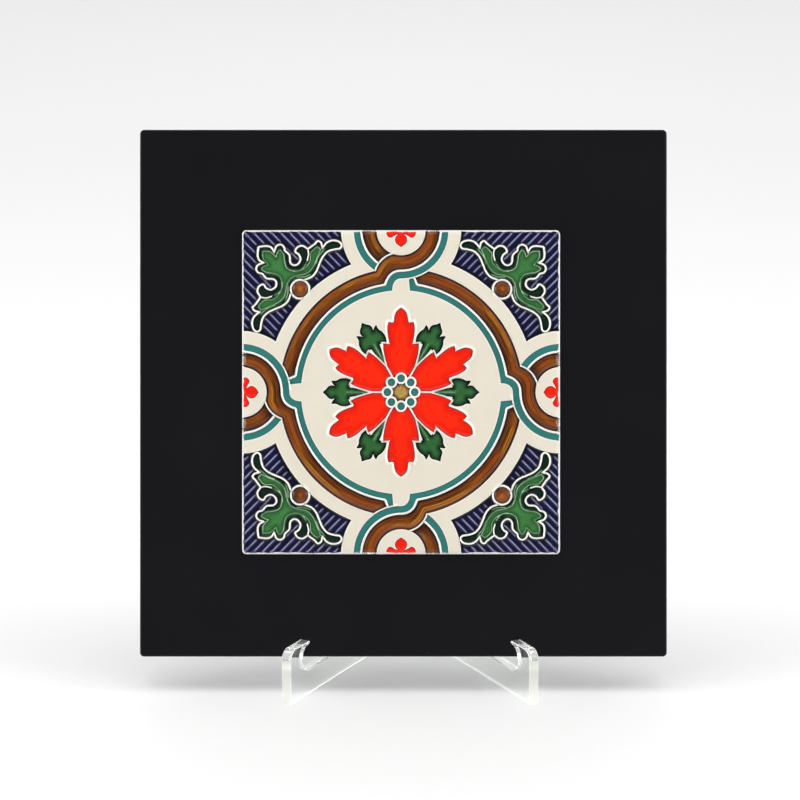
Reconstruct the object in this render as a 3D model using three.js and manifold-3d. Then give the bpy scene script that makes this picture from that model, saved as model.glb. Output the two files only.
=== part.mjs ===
// A relief tile of strapwork, leaves and flowers, let into a black square board on a clear easel.
// Millimetres, +Z up, the face of the board towards -Y.
import * as THREE from 'three';
import { mergeVertices } from 'three/addons/utils/BufferGeometryUtils.js';
import Module from 'manifold-3d';

const wasm = await Module();
wasm.setup();

// Board
const boardSide = 250;
const boardDepth = 18;
const boardCornerRadius = 2;
const boardEdgeSoftening = 0.8;
const boardLean = THREE.MathUtils.degToRad(15);

// Tile in its pocket
const tileWidth = 150.7;
const tileHeight = 153.6;
const tileThickness = 8;
const tileStandsProud = 1.6;
const tileCornerRadius = 2;
const tileRimWidth = 1.1;
const tileRimDrop = 0.7;
const tileShiftRight = -1.1;
const tileShiftUp = 0.45;
const pocketClearance = 0.35;
const restingGap = 0.3;
const reliefInset = 0.3;

// Heights of the relief over the dark ground
const creamHeight = 0.4;
const strapHeight = 0.8;
const ridgeHeight = 1;
const petalHeight = 0.9;
const leafHeight = 0.75;
const bossHeight = 1.3;
const rootDepth = 0.3;

// Clear easel of two crossed plates
const plateThickness = 5;
const plateTurn = THREE.MathUtils.degToRad(27.7);
const standHalfWidth = 58.1;
const standShiftRight = 3.2;
const plateRearLength = 24;
const plateRearHeight = 14;
const hookTipThickness = 1.4;
const hookCornerRadius = 5;
const hookReach = 17.5;
const hollowRadius = 6.3;
const hollowFloor = 12.3;
const armTopHeight = 130;
const armTopWidth = 14;
const armTopRadius = 5;
const boardSetback = 17.8;
const slotClearance = 0.3;
const hookHeight = hollowFloor + 2 * hollowRadius + hookTipThickness;

// The pattern is drawn in a mould square of 150 units with its middle at the origin,
// and is stretched over the width and height of the tile.
const mouldHalf = 75;
const mouldX = tileWidth / (2 * mouldHalf);
const mouldY = tileHeight / (2 * mouldHalf);
const quarterTurns = [0, 1, 2, 3];

// Strapwork rings: radii about the tile's middle, and for the rings about the middle
// of each side how far from the tile's middle they reach
const fieldRadius = 47.2;
const ridgeRadius = 50.3;
const strapRadius = 54.2;
const bandInnerRadius = 57.45;
const bandOuterRadius = 63.6;
const discReach = 63.4;
const sideStrapReach = 60.1;
const sideRidgeReach = 56.25;
const sideFieldReach = 52.7;
const sideBandReach = 46.7;
const discRadius = mouldHalf - discReach;
const sideStrapRadius = mouldHalf - sideStrapReach;
const sideRidgeRadius = mouldHalf - sideRidgeReach;
const sideFieldRadius = mouldHalf - sideFieldReach;
const sideBandRadius = mouldHalf - sideBandReach;
const strapHalfWidth = 3.6;
const ridgeHalfWidth = 0.75;
const lobeHalfWidth = 4.2;

// Flower and bosses
const petalCount = 6;
const pearlCount = 8;
const pearlCircle = 6.45;
const pearlRadius = 2;
const pearlSides = 8;
const flowerHeartRadius = 3.2;
const fineRidgeHalfWidth = 0.45;
const leafRidgeHalfWidth = 0.6;
const bossPlace = 47.65;
const bossRadius = 3.8;
const bossRingRadius = 4.35;
const bossSides = 10;

const ringFacet = 9;
const sideFacet = 15;
const bendFacet = 3.2;
const cornerSteps = 2;
const edgeSteps = 2;
const domeSteps = 2;
const plateArcSteps = 8;

function point(x, y) {
  return new THREE.Vector2(x, y);
}

function points(list) {
  return list.map(([x, y]) => point(x, y));
}

function turned(path, degrees) {
  const angle = THREE.MathUtils.degToRad(degrees);
  return path.map((p) => p.clone().rotateAround(point(0, 0), angle));
}

// The same path for the crossing at each side of the tile, clockwise from the top.
function atEachSide(path) {
  return quarterTurns.map((quarters) => turned(path, -90 * quarters));
}

function swapped(path) {
  return path.map((p) => point(p.y, p.x)).reverse();
}

// Points along a circle between two angles in degrees, measured anticlockwise from +X.
// They fall on whole multiples of the facet angle, so that neighbouring circles line up.
function arc(cx, cy, radius, from, to, facet = cx || cy ? sideFacet : ringFacet) {
  const onward = Math.sign(to - from);
  const angles = [from];
  for (let k = Math.ceil((onward * from) / facet); k * facet < onward * to; k += 1) {
    const angle = onward * k * facet;
    if (Math.min(Math.abs(angle - from), Math.abs(angle - to)) > facet / 4) {
      angles.push(angle);
    }
  }
  angles.push(to);
  return angles.map((degrees) => {
    const angle = THREE.MathUtils.degToRad(degrees);
    return point(cx + radius * Math.cos(angle), cy + radius * Math.sin(angle));
  });
}

function circle(cx, cy, radius, sides) {
  return arc(cx, cy, radius, 0, 360, 360 / sides).slice(0, -1);
}

function bend(handles) {
  const curve = new THREE.CubicBezierCurve(...handles);
  return curve.getSpacedPoints(Math.ceil(curve.getLength() / bendFacet));
}

// Direction, seen from the tile's middle, of the point where a circle about it
// meets a circle about the middle of the top side, on the right.
function meeting(radius, sideRadius) {
  const y = (mouldHalf ** 2 + radius ** 2 - sideRadius ** 2) / (2 * mouldHalf);
  return THREE.MathUtils.radToDeg(Math.asin(y / radius));
}

// The same point's direction seen from the middle of the top side.
function sideMeeting(radius, sideRadius) {
  const y = (mouldHalf ** 2 + radius ** 2 - sideRadius ** 2) / (2 * mouldHalf);
  return THREE.MathUtils.radToDeg(Math.asin((y - mouldHalf) / sideRadius));
}

function solid(geometry) {
  const bare = geometry.index ? geometry.toNonIndexed() : geometry.clone();
  bare.deleteAttribute('normal');
  bare.deleteAttribute('uv');
  const merged = mergeVertices(bare, 1e-4);
  return new wasm.Manifold(new wasm.Mesh({
    numProp: 3,
    vertProperties: merged.attributes.position.array,
    triVerts: new Uint32Array(merged.index.array),
  }));
}

function geometryOf(body) {
  const mesh = body.getMesh();
  const geometry = new THREE.BufferGeometry();
  geometry.setAttribute('position', new THREE.BufferAttribute(mesh.vertProperties, 3));
  geometry.setIndex(new THREE.BufferAttribute(mesh.triVerts, 1));
  return geometry;
}

function joined(bodies) {
  return bodies.reduce((whole, body) => whole.add(body));
}

function roundedShape(width, height, radius) {
  const x = width / 2;
  const y = height / 2;
  return new THREE.Shape()
    .absarc(x - radius, y - radius, radius, 0, Math.PI / 2)
    .absarc(radius - x, y - radius, radius, Math.PI / 2, Math.PI)
    .absarc(radius - x, radius - y, radius, Math.PI, 1.5 * Math.PI)
    .absarc(x - radius, radius - y, radius, 1.5 * Math.PI, 2 * Math.PI);
}

// A slab behind the plane z = 0, with its front and back edges rounded over.
function slab(width, height, radius, thickness, edgeWidth, edgeDrop) {
  const geometry = new THREE.ExtrudeGeometry(roundedShape(width, height, radius), {
    depth: thickness - 2 * edgeDrop,
    curveSegments: cornerSteps,
    bevelThickness: edgeDrop,
    bevelSize: edgeWidth,
    bevelOffset: -edgeWidth,
    bevelSegments: edgeSteps,
  });
  return solid(geometry.translate(0, 0, edgeDrop - thickness));
}

function block(width, height, radius, from, to) {
  const geometry = new THREE.ExtrudeGeometry(roundedShape(width, height, radius), {
    depth: to - from,
    curveSegments: cornerSteps,
    bevelEnabled: false,
  });
  return solid(geometry.translate(0, 0, from));
}

function onTile(path) {
  return path.map((p) => point(p.x * mouldX, p.y * mouldY));
}

// A flat-topped shape whose sides start below the ground.
function raised(path, height, root = rootDepth) {
  const geometry = new THREE.ExtrudeGeometry(new THREE.Shape(onTile(path)), {
    depth: height + root,
    bevelEnabled: false,
  });
  return solid(geometry.translate(0, 0, -root));
}

// A raised line with a sharp crest over its path, and its half width where it leaves the ground.
function ridge(path, halfWidth, height, { ground = 0, closed = false } = {}) {
  const rootHalf = (halfWidth * (height - ground + rootDepth)) / (height - ground);
  const root = ground - rootDepth;
  const section = [[rootHalf, root], [-rootHalf, root], [0, height]];
  const place = onTile(path);
  const count = place.length;
  const steps = closed ? count : count - 1;
  const vertices = place.flatMap((here, i) => {
    const before = place[(i + count - 1) % count];
    const after = place[(i + 1) % count];
    const onward = after.clone().sub(here).normalize();
    const inward = here.clone().sub(before).normalize();
    const leaving = closed || i < count - 1 ? onward : inward;
    const arriving = closed || i > 0 ? inward : onward;
    const across = point(-arriving.y - leaving.y, arriving.x + leaving.x).normalize();
    const mitre = Math.min(2, 1 / Math.abs(across.dot(point(-leaving.y, leaving.x))));
    return section.flatMap(([offset, z]) => [
      here.x + across.x * offset * mitre,
      here.y + across.y * offset * mitre,
      z,
    ]);
  });
  const faces = [];
  const sides = section.length;
  for (let i = 0; i < steps; i += 1) {
    const a = i * sides;
    const b = ((i + 1) % count) * sides;
    for (let j = 0; j < sides; j += 1) {
      const k = (j + 1) % sides;
      faces.push(a + j, b + k, a + k, a + j, b + j, b + k);
    }
  }
  if (!closed) {
    const end = (count - 1) * sides;
    faces.push(0, 1, 2, end, end + 2, end + 1);
  }
  const geometry = new THREE.BufferGeometry();
  geometry.setAttribute('position', new THREE.BufferAttribute(new Float32Array(vertices), 3));
  geometry.setIndex(faces);
  return solid(geometry);
}

function dome(x, y, radius, height, sides) {
  const profile = [point(0, -rootDepth), point(radius, -rootDepth)];
  for (let i = 0; i < domeSteps; i += 1) {
    const angle = ((i / domeSteps) * Math.PI) / 2;
    profile.push(point(radius * Math.cos(angle), height * Math.sin(angle)));
  }
  profile.push(point(0, height));
  const geometry = new THREE.LatheGeometry(profile, sides);
  return solid(geometry.rotateX(Math.PI / 2).translate(x * mouldX, y * mouldY, 0));
}

// Cream field: a disc with a lobe that reaches up under the strap at each crossing.
const lobeTop = sideFieldReach;
const lobeCornerAngle = THREE.MathUtils.radToDeg(Math.acos(lobeHalfWidth / fieldRadius));
const lobeCornerY = Math.sqrt(fieldRadius ** 2 - lobeHalfWidth ** 2);
const lobeSide = bend([
  point(-lobeHalfWidth, lobeCornerY),
  point(-lobeHalfWidth, lobeCornerY + 3.9),
  point(-2.3, lobeTop),
  point(0, lobeTop),
]);
const lobeFarCorner = point(3.4, lobeTop + 0.26);

function fieldOutline() {
  const quarter = [
    ...lobeSide,
    lobeFarCorner,
    ...arc(0, 0, fieldRadius, lobeCornerAngle, 90 - lobeCornerAngle),
  ];
  return atEachSide(quarter.slice(0, -1)).flat();
}

// A path that is the same on both sides of the corner's diagonal, from its half.
function mirrored(half) {
  return [...half, ...swapped(half).slice(1)];
}

// Cream band of the corner between the top side and the right side.
function bandOutline() {
  const inner = mirrored([
    ...arc(0, mouldHalf, sideFieldRadius, 0, sideMeeting(bandInnerRadius, sideFieldRadius)),
    ...arc(0, 0, bandInnerRadius, meeting(bandInnerRadius, sideFieldRadius), 45).slice(1),
  ]);
  const outer = mirrored([
    ...arc(0, mouldHalf, sideBandRadius, 0, sideMeeting(bandOuterRadius, sideBandRadius)),
    ...arc(0, 0, bandOuterRadius, meeting(bandOuterRadius, sideBandRadius), 45).slice(1),
  ]);
  return [...inner, ...outer.reverse()];
}

// The strap that passes over at the top: up from the left, across, and off the tile to the right.
// It leaves the big ring at an angle and joins the ring about the middle of the side.
function swing(radius, angle, leaving, sideRadius, arriving) {
  const ring = arc(0, 0, radius, 135, angle);
  const start = ring.at(-1);
  const end = point(0, mouldHalf - sideRadius);
  return [
    ...ring,
    ...bend([start, start.clone().add(leaving), end.clone().sub(arriving), end]).slice(1),
    ...arc(0, mouldHalf, sideRadius, 270, 360).slice(1),
  ];
}

const overRidge = swing(ridgeRadius, 98.6, point(0.9, 3.6), sideRidgeRadius, point(4.4, 0));
const overStrap = swing(strapRadius, 105.5, point(6, 1.7), sideStrapRadius, point(6.5, 0));
const overEdge = arc(-1.2, 53, 11.5, 162.5, 101.5);
const edgeTop = overEdge.at(-1);
const edgeMeetsDisc = 360 + THREE.MathUtils.radToDeg(Math.atan2(edgeTop.y - mouldHalf, edgeTop.x));

function overArea() {
  return raised([
    ...overEdge,
    ...arc(0, mouldHalf, discRadius, edgeMeetsDisc, 360),
    ...arc(0, mouldHalf, sideFieldRadius + ridgeHalfWidth, 360, 270),
    ...[...lobeSide].reverse(),
    point(-12, 47),
  ], 2 * ridgeHeight, 2 * rootDepth);
}

// The strap that passes under: the left half of the side ring, and the ring on the right.
function underStraps() {
  const ring = ridge([...arc(0, 0, strapRadius, 84, 45)], strapHalfWidth, strapHeight);
  const side = ridge(arc(0, mouldHalf, sideStrapRadius, 180, 262), strapHalfWidth, strapHeight);
  const ringLine = [point(6.2, 53), ...arc(0, 0, ridgeRadius, 81.4, 45)];
  const sideLine = arc(0, mouldHalf, sideRidgeRadius, 180, 250);
  return joined([
    ring,
    side,
    ridge(ringLine, ridgeHalfWidth, ridgeHeight),
    ridge(sideLine, ridgeHalfWidth, ridgeHeight),
  ]).subtract(overArea());
}

function crossing() {
  return joined([
    underStraps(),
    ridge(overStrap, strapHalfWidth, strapHeight),
    ridge(overRidge, ridgeHalfWidth, ridgeHeight),
    ridge(overEdge, fineRidgeHalfWidth, ridgeHeight),
  ]);
}

// A four-lobed flower cut by the edge of the tile, in the disc at the middle of the side.
const sideFlowerHalf = [
  [7.2, 75], [7.0, 73.2], [5.4, 71.5], [3.5, 72.1], [2.4, 73.0], [2.9, 70.3], [2.0, 68.0], [0, 67.1],
];

function sideFlower() {
  const half = points(sideFlowerHalf);
  const other = half.slice(0, -1).reverse().map((p) => point(-p.x, p.y));
  return raised([...half, ...other], leafHeight);
}

// Half of a petal and half of a leaf, pointing up, from the root to the tip.
const petalHalf = [
  [6.93, 12.0], [8.3, 16.8], [8.9, 22.9], [6.0, 22.8], [6.8, 28.2],
  [6.1, 33.0], [3.9, 32.4], [3.1, 36.8], [0, 39.5],
];
const flowerLeafHalf = [
  [0, 16.5], [1.2, 20.2], [2.1, 24.4], [5.1, 24.2], [6.1, 27.2],
  [5.4, 32.6], [2.8, 31.2], [1.9, 34.4], [0, 36.6],
];

function bothSides(half) {
  const side = points(half);
  return [...side, ...side.slice(0, -1).reverse().map((p) => point(-p.x, p.y))];
}

function flower() {
  const petal = bothSides(petalHalf);
  const leaf = bothSides(flowerLeafHalf).slice(1);
  const spoke = points([[0, pearlCircle + pearlRadius], [0, Math.hypot(...petalHalf[0])]]);
  const line = (path, closed = false) => (
    ridge(path, fineRidgeHalfWidth, petalHeight, { ground: creamHeight, closed })
  );
  const bodies = [dome(0, 0, flowerHeartRadius, bossHeight, bossSides)];
  for (let i = 0; i < petalCount; i += 1) {
    const turn = (360 / petalCount) * i;
    const between = turn + 180 / petalCount;
    bodies.push(line(turned(petal, turn)), line(turned(spoke, between)));
    bodies.push(raised(turned(leaf, between), leafHeight));
  }
  for (let i = 0; i < pearlCount; i += 1) {
    const middle = turned([point(0, pearlCircle)], (360 / pearlCount) * i)[0];
    const ring = circle(middle.x, middle.y, pearlRadius, pearlSides);
    bodies.push(line(ring, true));
  }
  return joined(bodies);
}

// Corner leaf: from the boss along the stem to its curled end, and back over the lobes to the tip.
const cornerLeafHalf = [
  [45.6, 52.0], [42.2, 53.4], [40.0, 55.9], [38.6, 59.2],
  [37.0, 62.6], [34.6, 65.1], [31.4, 66.1], [28.9, 66.3],
  [28.0, 68.0], [29.4, 69.7], [32.4, 70.2], [35.0, 69.4], [37.1, 66.8],
  [37.9, 69.3], [39.4, 70.0], [40.6, 68.6], [44.0, 66.2],
  [46.4, 67.7], [48.7, 67.0], [49.9, 65.0], [48.2, 63.7],
  [47.4, 61.4], [48.6, 59.3], [50.6, 58.7], [52.3, 59.9],
  [52.6, 63.6], [54.8, 65.4],
  [55.4, 67.5], [57.1, 68.3], [59.0, 67.5], [59.9, 64.8], [61.2, 67.0], [63.6, 67.6], [67.2, 67.2],
];
const cornerLeafSlit = [[44.0, 66.2], [44.3, 60.9]];
const cornerLeafBodyHalf = [
  [52.4, 52.4], [49.6, 53.8], [44.6, 54.9], [41.6, 57.8],
  [39.6, 62.4], [37.9, 66.0], [41.0, 66.2], [42.7, 64.4],
  [43.0, 60.4], [45.6, 57.4], [49.8, 55.9], [53.8, 57.4],
  [55.0, 60.6], [55.4, 63.4], [57.0, 65.4], [58.8, 63.0],
  [61.6, 64.9], [65.2, 65.2],
];

function cornerLeaf(outline) {
  const slit = points(cornerLeafSlit);
  const body = points(cornerLeafBodyHalf);
  return joined([
    ridge(outline, leafRidgeHalfWidth, ridgeHeight),
    ridge(slit, fineRidgeHalfWidth, ridgeHeight),
    ridge(swapped(slit), fineRidgeHalfWidth, ridgeHeight),
    raised([...body, ...swapped(body).slice(1, -1)], leafHeight),
  ]);
}

// Everything in the corner between the top side and the right side.
function corner() {
  const leaf = mirrored(points(cornerLeafHalf));
  const ring = circle(bossPlace, bossPlace, bossRingRadius, bossSides);
  return joined([
    raised(bandOutline(), creamHeight),
    cornerLeaf(leaf),
    dome(bossPlace, bossPlace, bossRadius, bossHeight, bossSides),
    ridge(ring, leafRidgeHalfWidth, ridgeHeight, { closed: true }),
  ]);
}

function tileGeometry() {
  const disc = raised(arc(0, mouldHalf, discRadius, 180, 360), creamHeight);
  const side = joined([crossing(), disc, sideFlower()]);
  const quarter = side.add(corner());
  const stretch = (degrees) => {
    const turn = new THREE.Matrix4().makeScale(mouldX, mouldY, 1)
      .multiply(new THREE.Matrix4().makeRotationZ(THREE.MathUtils.degToRad(degrees)))
      .multiply(new THREE.Matrix4().makeScale(1 / mouldX, 1 / mouldY, 1));
    return solid(geometryOf(quarter).applyMatrix4(turn));
  };
  const relief = joined([
    raised(fieldOutline(), creamHeight),
    flower(),
    ...quarterTurns.map((quarters) => stretch(-90 * quarters)),
  ]);
  const rim = 2 * (tileRimWidth + reliefInset);
  const limit = block(tileWidth - rim, tileHeight - rim, tileCornerRadius, -rootDepth, 2 * bossHeight);
  const plain = slab(tileWidth, tileHeight, tileCornerRadius, tileThickness, tileRimWidth, tileRimDrop);
  return geometryOf(plain.add(relief.intersect(limit)));
}

function boardGeometry() {
  const softening = boardEdgeSoftening;
  const plain = slab(boardSide, boardSide, boardCornerRadius, boardDepth, softening, softening);
  const pocketDepth = tileThickness - tileStandsProud + restingGap;
  const overFace = 1;
  const pocket = block(
    tileWidth + 2 * pocketClearance,
    tileHeight + 2 * pocketClearance,
    tileCornerRadius + pocketClearance,
    -pocketDepth,
    overFace,
  ).translate([tileShiftRight, tileShiftUp, 0]);
  return geometryOf(plain.subtract(pocket));
}

// Where the board's lower back edge rests, and the plates' arms behind it
const boardRearEdge = boardSetback + boardDepth * Math.cos(boardLean);
const boardRearHeight = hollowFloor + restingGap;

function armFront(height) {
  const boardBack = boardRearEdge + (height - boardRearHeight) * Math.tan(boardLean);
  const clear = restingGap / Math.cos(boardLean) + (plateThickness / 2) * Math.sin(plateTurn);
  return (boardBack + clear) / Math.cos(plateTurn);
}

const plateCrossing = standHalfWidth / Math.sin(plateTurn);
const plateLength = plateCrossing + plateRearLength;
const armTop = armFront(armTopHeight);
const armBack = armTop + armTopWidth;
const backSlope = (plateLength - armBack) / (armTopHeight - plateRearHeight);

function plateShape() {
  const tipRadius = hookTipThickness / 2;
  const hollowMiddle = hollowFloor + hollowRadius;
  const armShoulder = armTopHeight - armTopRadius;
  const armBackShoulder = armBack + armTopRadius * backSlope;
  return new THREE.Shape()
    .moveTo(0, 0)
    .lineTo(0, hookHeight - hookCornerRadius)
    .absarc(hookCornerRadius, hookHeight - hookCornerRadius, hookCornerRadius, Math.PI, Math.PI / 2, true)
    .lineTo(hookReach, hookHeight)
    .absarc(hookReach, hookHeight - tipRadius, tipRadius, Math.PI / 2, -Math.PI / 2, true)
    .absarc(hookReach, hollowMiddle, hollowRadius, Math.PI / 2, 1.5 * Math.PI, false)
    .lineTo(armFront(hollowFloor), hollowFloor)
    .lineTo(armFront(armShoulder), armShoulder)
    .quadraticCurveTo(armTop, armTopHeight, armTop + armTopRadius, armTopHeight)
    .lineTo(armBack - armTopRadius, armTopHeight)
    .quadraticCurveTo(armBack, armTopHeight, armBackShoulder, armShoulder)
    .lineTo(plateLength, plateRearHeight)
    .lineTo(plateLength, 0);
}

// A plate with its half-lap slot open at the top or at the bottom.
function plateGeometry(slotFromTop) {
  const plate = solid(new THREE.ExtrudeGeometry(plateShape(), {
    depth: plateThickness,
    curveSegments: plateArcSteps,
    bevelEnabled: false,
  }));
  const crossingHeight = plateRearHeight + (plateLength - plateCrossing) / backSlope;
  const crossingAngle = 2 * plateTurn;
  const otherPlate = plateThickness / Math.sin(crossingAngle) + plateThickness / Math.tan(crossingAngle);
  const slotDepth = (crossingHeight + restingGap) / 2;
  const slot = new THREE.BoxGeometry(otherPlate + 2 * slotClearance, crossingHeight, 2 * plateThickness);
  const slotMiddle = slotFromTop ? 1.5 * crossingHeight - slotDepth : slotDepth - crossingHeight / 2;
  slot.translate(plateCrossing, slotMiddle, plateThickness / 2);
  return geometryOf(plate.subtract(solid(slot))).translate(0, 0, -plateThickness / 2);
}

function piece(name, geometry, colour, roughness) {
  const flat = geometry.toNonIndexed();
  flat.computeVertexNormals();
  const material = new THREE.MeshStandardMaterial({ color: colour, roughness, metalness: 0 });
  const mesh = new THREE.Mesh(flat, material);
  mesh.name = name;
  return mesh;
}

function panel() {
  const group = new THREE.Group();
  const board = piece('board', boardGeometry(), 0x17171a, 0.35);
  board.position.set(0, boardSide / 2, boardDepth);
  const tile = piece('tile', tileGeometry(), 0xd8d4c6, 0.18);
  tile.position.set(tileShiftRight, boardSide / 2 + tileShiftUp, boardDepth + tileStandsProud);
  group.add(board, tile);
  group.position.set(-standShiftRight, boardRearEdge, boardRearHeight);
  group.rotation.x = Math.PI / 2 - boardLean;
  return group;
}

function standPlate(name, side) {
  const group = new THREE.Group();
  const plate = piece(name, plateGeometry(side < 0), 0xe6ece9, 0.05);
  plate.material.transparent = true;
  plate.material.opacity = 0.4;
  plate.rotation.x = Math.PI / 2;
  group.add(plate);
  group.position.set(side * standHalfWidth, 0, 0);
  group.rotation.z = Math.PI / 2 + side * plateTurn;
  return group;
}

const framedTile = new THREE.Group();
framedTile.add(panel(), standPlate('stand_left_plate', -1), standPlate('stand_right_plate', 1));

// The origin is under the middle of the whole thing, at the height of the feet.
const extent = new THREE.Box3().setFromObject(framedTile, true);
framedTile.position.set(
  -(extent.min.x + extent.max.x) / 2,
  -(extent.min.y + extent.max.y) / 2,
  -extent.min.z,
);

export default framedTile;
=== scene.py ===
"""Looks of a relief tile let into a black board on a clear easel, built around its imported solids."""

import math

import bmesh
import bpy
import numpy as np
from bpy.props import FloatProperty, FloatVectorProperty, PointerProperty
from mathutils import Matrix, Vector
from mathutils.geometry import delaunay_2d_cdt


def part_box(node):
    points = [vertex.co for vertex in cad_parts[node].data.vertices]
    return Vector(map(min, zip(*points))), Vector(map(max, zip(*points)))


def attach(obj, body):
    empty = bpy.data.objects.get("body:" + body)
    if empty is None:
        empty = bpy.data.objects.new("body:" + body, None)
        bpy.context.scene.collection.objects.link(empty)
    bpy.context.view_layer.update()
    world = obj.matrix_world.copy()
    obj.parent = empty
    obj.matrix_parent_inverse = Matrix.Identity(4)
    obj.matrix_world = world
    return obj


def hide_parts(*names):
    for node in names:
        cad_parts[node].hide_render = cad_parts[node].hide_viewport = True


bl_info = {
    "name": "Framed Relief Tile",
    "version": (1, 0, 0),
    "blender": (4, 5, 0),
    "location": "View3D > Sidebar > Framed Tile",
    "description": "Builds a glazed relief tile in a black board on a clear easel",
    "category": "Add Mesh",
}

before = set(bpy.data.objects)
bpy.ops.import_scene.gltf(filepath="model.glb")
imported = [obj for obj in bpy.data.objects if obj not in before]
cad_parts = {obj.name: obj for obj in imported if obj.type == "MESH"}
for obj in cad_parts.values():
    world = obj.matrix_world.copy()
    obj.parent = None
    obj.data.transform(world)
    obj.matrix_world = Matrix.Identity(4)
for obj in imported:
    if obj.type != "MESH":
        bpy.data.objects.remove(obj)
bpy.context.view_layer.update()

MM = 0.001
LEAN = math.radians(15)
INSET = "inset"
CREST = "crest"
ACROSS = "across"
RIM_DISTANCE = "rim_distance"

# The tile's pattern is drawn in mould units: a square of 150 with its middle at the origin,
# stretched over the tile. The top crossing is drawn, and the other three are quarter turns of it.
MOULD_HALF = 75.0
SIDE_MIDDLE = np.array((0.0, MOULD_HALF))

FIELD_RADIUS = 47.2
RIDGE_RADIUS = 50.3
BAND_INNER_RADIUS = 57.45
BAND_OUTER_RADIUS = 63.6
DISC_RADIUS = 11.6
SIDE_RIDGE_RADIUS = 18.75
SIDE_FIELD_RADIUS = 22.3
SIDE_BAND_RADIUS = 28.3
SIDE_LINE_RADIUS = 22.65

RIDGE_HALF = 0.52
EDGE_HALF = 0.38
FINE_HALF = 0.35
LEAF_LINE_HALF = 0.44
PETAL_LINE_HALF = 0.42
RING_LINE_HALF = 0.5

LOBE_HALF_WIDTH = 4.2
LOBE_TOP = MOULD_HALF - SIDE_FIELD_RADIUS
LOBE_CORNER_Y = math.sqrt(FIELD_RADIUS ** 2 - LOBE_HALF_WIDTH ** 2)
LOBE_ANGLE = math.degrees(math.acos(LOBE_HALF_WIDTH / FIELD_RADIUS))

# Where the upper strap leaves its circle, in degrees, and where the lower ridge turns off
OVER_BEND = 98.6
TURN_LOW = (7.45, 49.75)
TURN_HIGH = (6.1, 53.3)

# Ends of the spokes between the pearls and the petals
SPOKE_START = 8.4
SPOKE_END = 13.86

# Rings that hold the straps, and how far a covered end stays dark
STRAP_MIDDLE = 54.2
SIDE_STRAP_MIDDLE = 14.9
STRAP_REACH = 5
COVERED_SHADE = 7.5

BOSS_PLACE = np.array((47.65, 47.65))
BOSS_RING_RADIUS = 4.35
PEARL_CIRCLE = 6.45
PEARL_DOT_RADIUS = 1.75
PEARL_RING_RADIUS = 2.75
HATCH_PITCH = 4.25
HATCH_COUNT = 13
HATCH_ALONG = np.arange(46, 142, 0.9)

# Spacing of the net's free points, their rows and columns to each side of the middle, and the cell
# round a drawn point that keeps them away
NET_SPACING = 0.56
NET_ROWS = 170
NET_COLUMNS = 150
CROWD_CELL = 0.4

# Radii of the extra rings that the net follows, and distances of the rows beside the upper ridge
BOSS_ROWS = (3.85, 4.0, 4.35, 4.7, 4.85, 3.2, 2.2, 1.1)
PEARL_ROWS = (0.6, 1.2, 1.55, 1.75, 1.9, 2.25, 2.6, 2.75)
HEART_ROWS = (0.8, 1.8, 2.6, 3.2)
FIELD_ROWS = (47.7, 48.4, 49.1)
SIDE_FIELD_ROWS = (19.9, 20.8, 21.7)
RIDGE_BESIDE = (1.1, 1.8, 2.5)

# Reach of a vein's crest, the net's rows beside it, the reach of a hatching line's crest, and the
# swell of the corner leaf's body
VEIN_HALF = 0.4
VEIN_BESIDE = 0.45
HATCH_HALF = 0.45
BODY_CREST = 0.25
BODY_SWELL = 0.4
BODY_SWELL_WIDTH = 2.4

# Millimetres over which the relief fades in beside the tile's rounded edge
RIM_FADE = 0.6
# Heights of the relief over the ground, in millimetres
FOOT = 0.1
IVORY_RISE = 0.3
CREST_RISE = 0.88

# Places across the strap of its fine grooves, from its ridge to its other side, and their depths
STRAP_GROOVES = ((0.12, 0.2), (0.24, 0.16), (0.37, 0.1), (0.88, 0.16))
GROOVE_WIDTH = 0.035

PETAL_HALF = [
    [(0, 39.6), (1.9, 38.3), (3.3, 36.2), (3.9, 32.5)],
    [(3.9, 32.5), (6.1, 33.0)],
    [(6.1, 33.0), (6.8, 30.8), (6.8, 27.5), (6.0, 22.8)],
    [(6.0, 22.8), (8.9, 22.9)],
    [(8.9, 22.9), (8.7, 19.5), (8.0, 16.0), (6.93, 12.0)],
]
FLOWER_LEAF_HALF = [
    [(0.0, 14.7), (1.0, 18.0), (1.7, 21.0), (2.3, 24.4)],
    [(2.3, 24.4), (5.6, 23.3)],
    [(5.6, 23.3), (6.5, 25.8), (6.3, 28.8), (5.4, 30.6), (5.4, 33.0)],
    [(5.4, 33.0), (4.0, 32.3), (2.9, 31.3)],
    [(2.9, 31.3), (3.2, 33.0), (2.6, 34.4), (1.5, 35.3)],
    [(1.5, 35.3), (0, 37.1)],
]
SIDE_FLOWER_HALF = [
    [(6.9, 75.0), (7.0, 73.5), (6.1, 71.9), (4.7, 71.5), (3.4, 72.3), (1.5, 73.1)],
    [(1.5, 73.1), (2.5, 71.9), (2.9, 70.4), (2.2, 68.7), (0, 67.1)],
]
CORNER_LEAF_HALF = [
    [(45.6, 52.0), (42.2, 53.4), (40.0, 55.9), (38.6, 59.2), (37.0, 62.6), (34.6, 65.1), (31.4, 66.1),
     (28.9, 66.5), (28.0, 68.0), (29.4, 69.7), (32.4, 70.2), (35.0, 69.2), (37.1, 66.8)],
    [(37.1, 66.8), (37.8, 69.2), (39.3, 70.0), (40.7, 68.6), (44.0, 66.2)],
    [(44.0, 66.2), (46.4, 67.7), (48.8, 67.1), (49.9, 65.0), (48.2, 63.7), (47.4, 61.4), (48.6, 59.3),
     (50.6, 58.7), (52.3, 60.1), (52.7, 63.4), (54.8, 65.4)],
    [(54.8, 65.4), (55.4, 67.4), (57.1, 68.3), (58.9, 67.4), (59.9, 64.8)],
    [(59.9, 64.8), (61.2, 66.9), (63.6, 67.6), (67.2, 67.2)],
]
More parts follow.
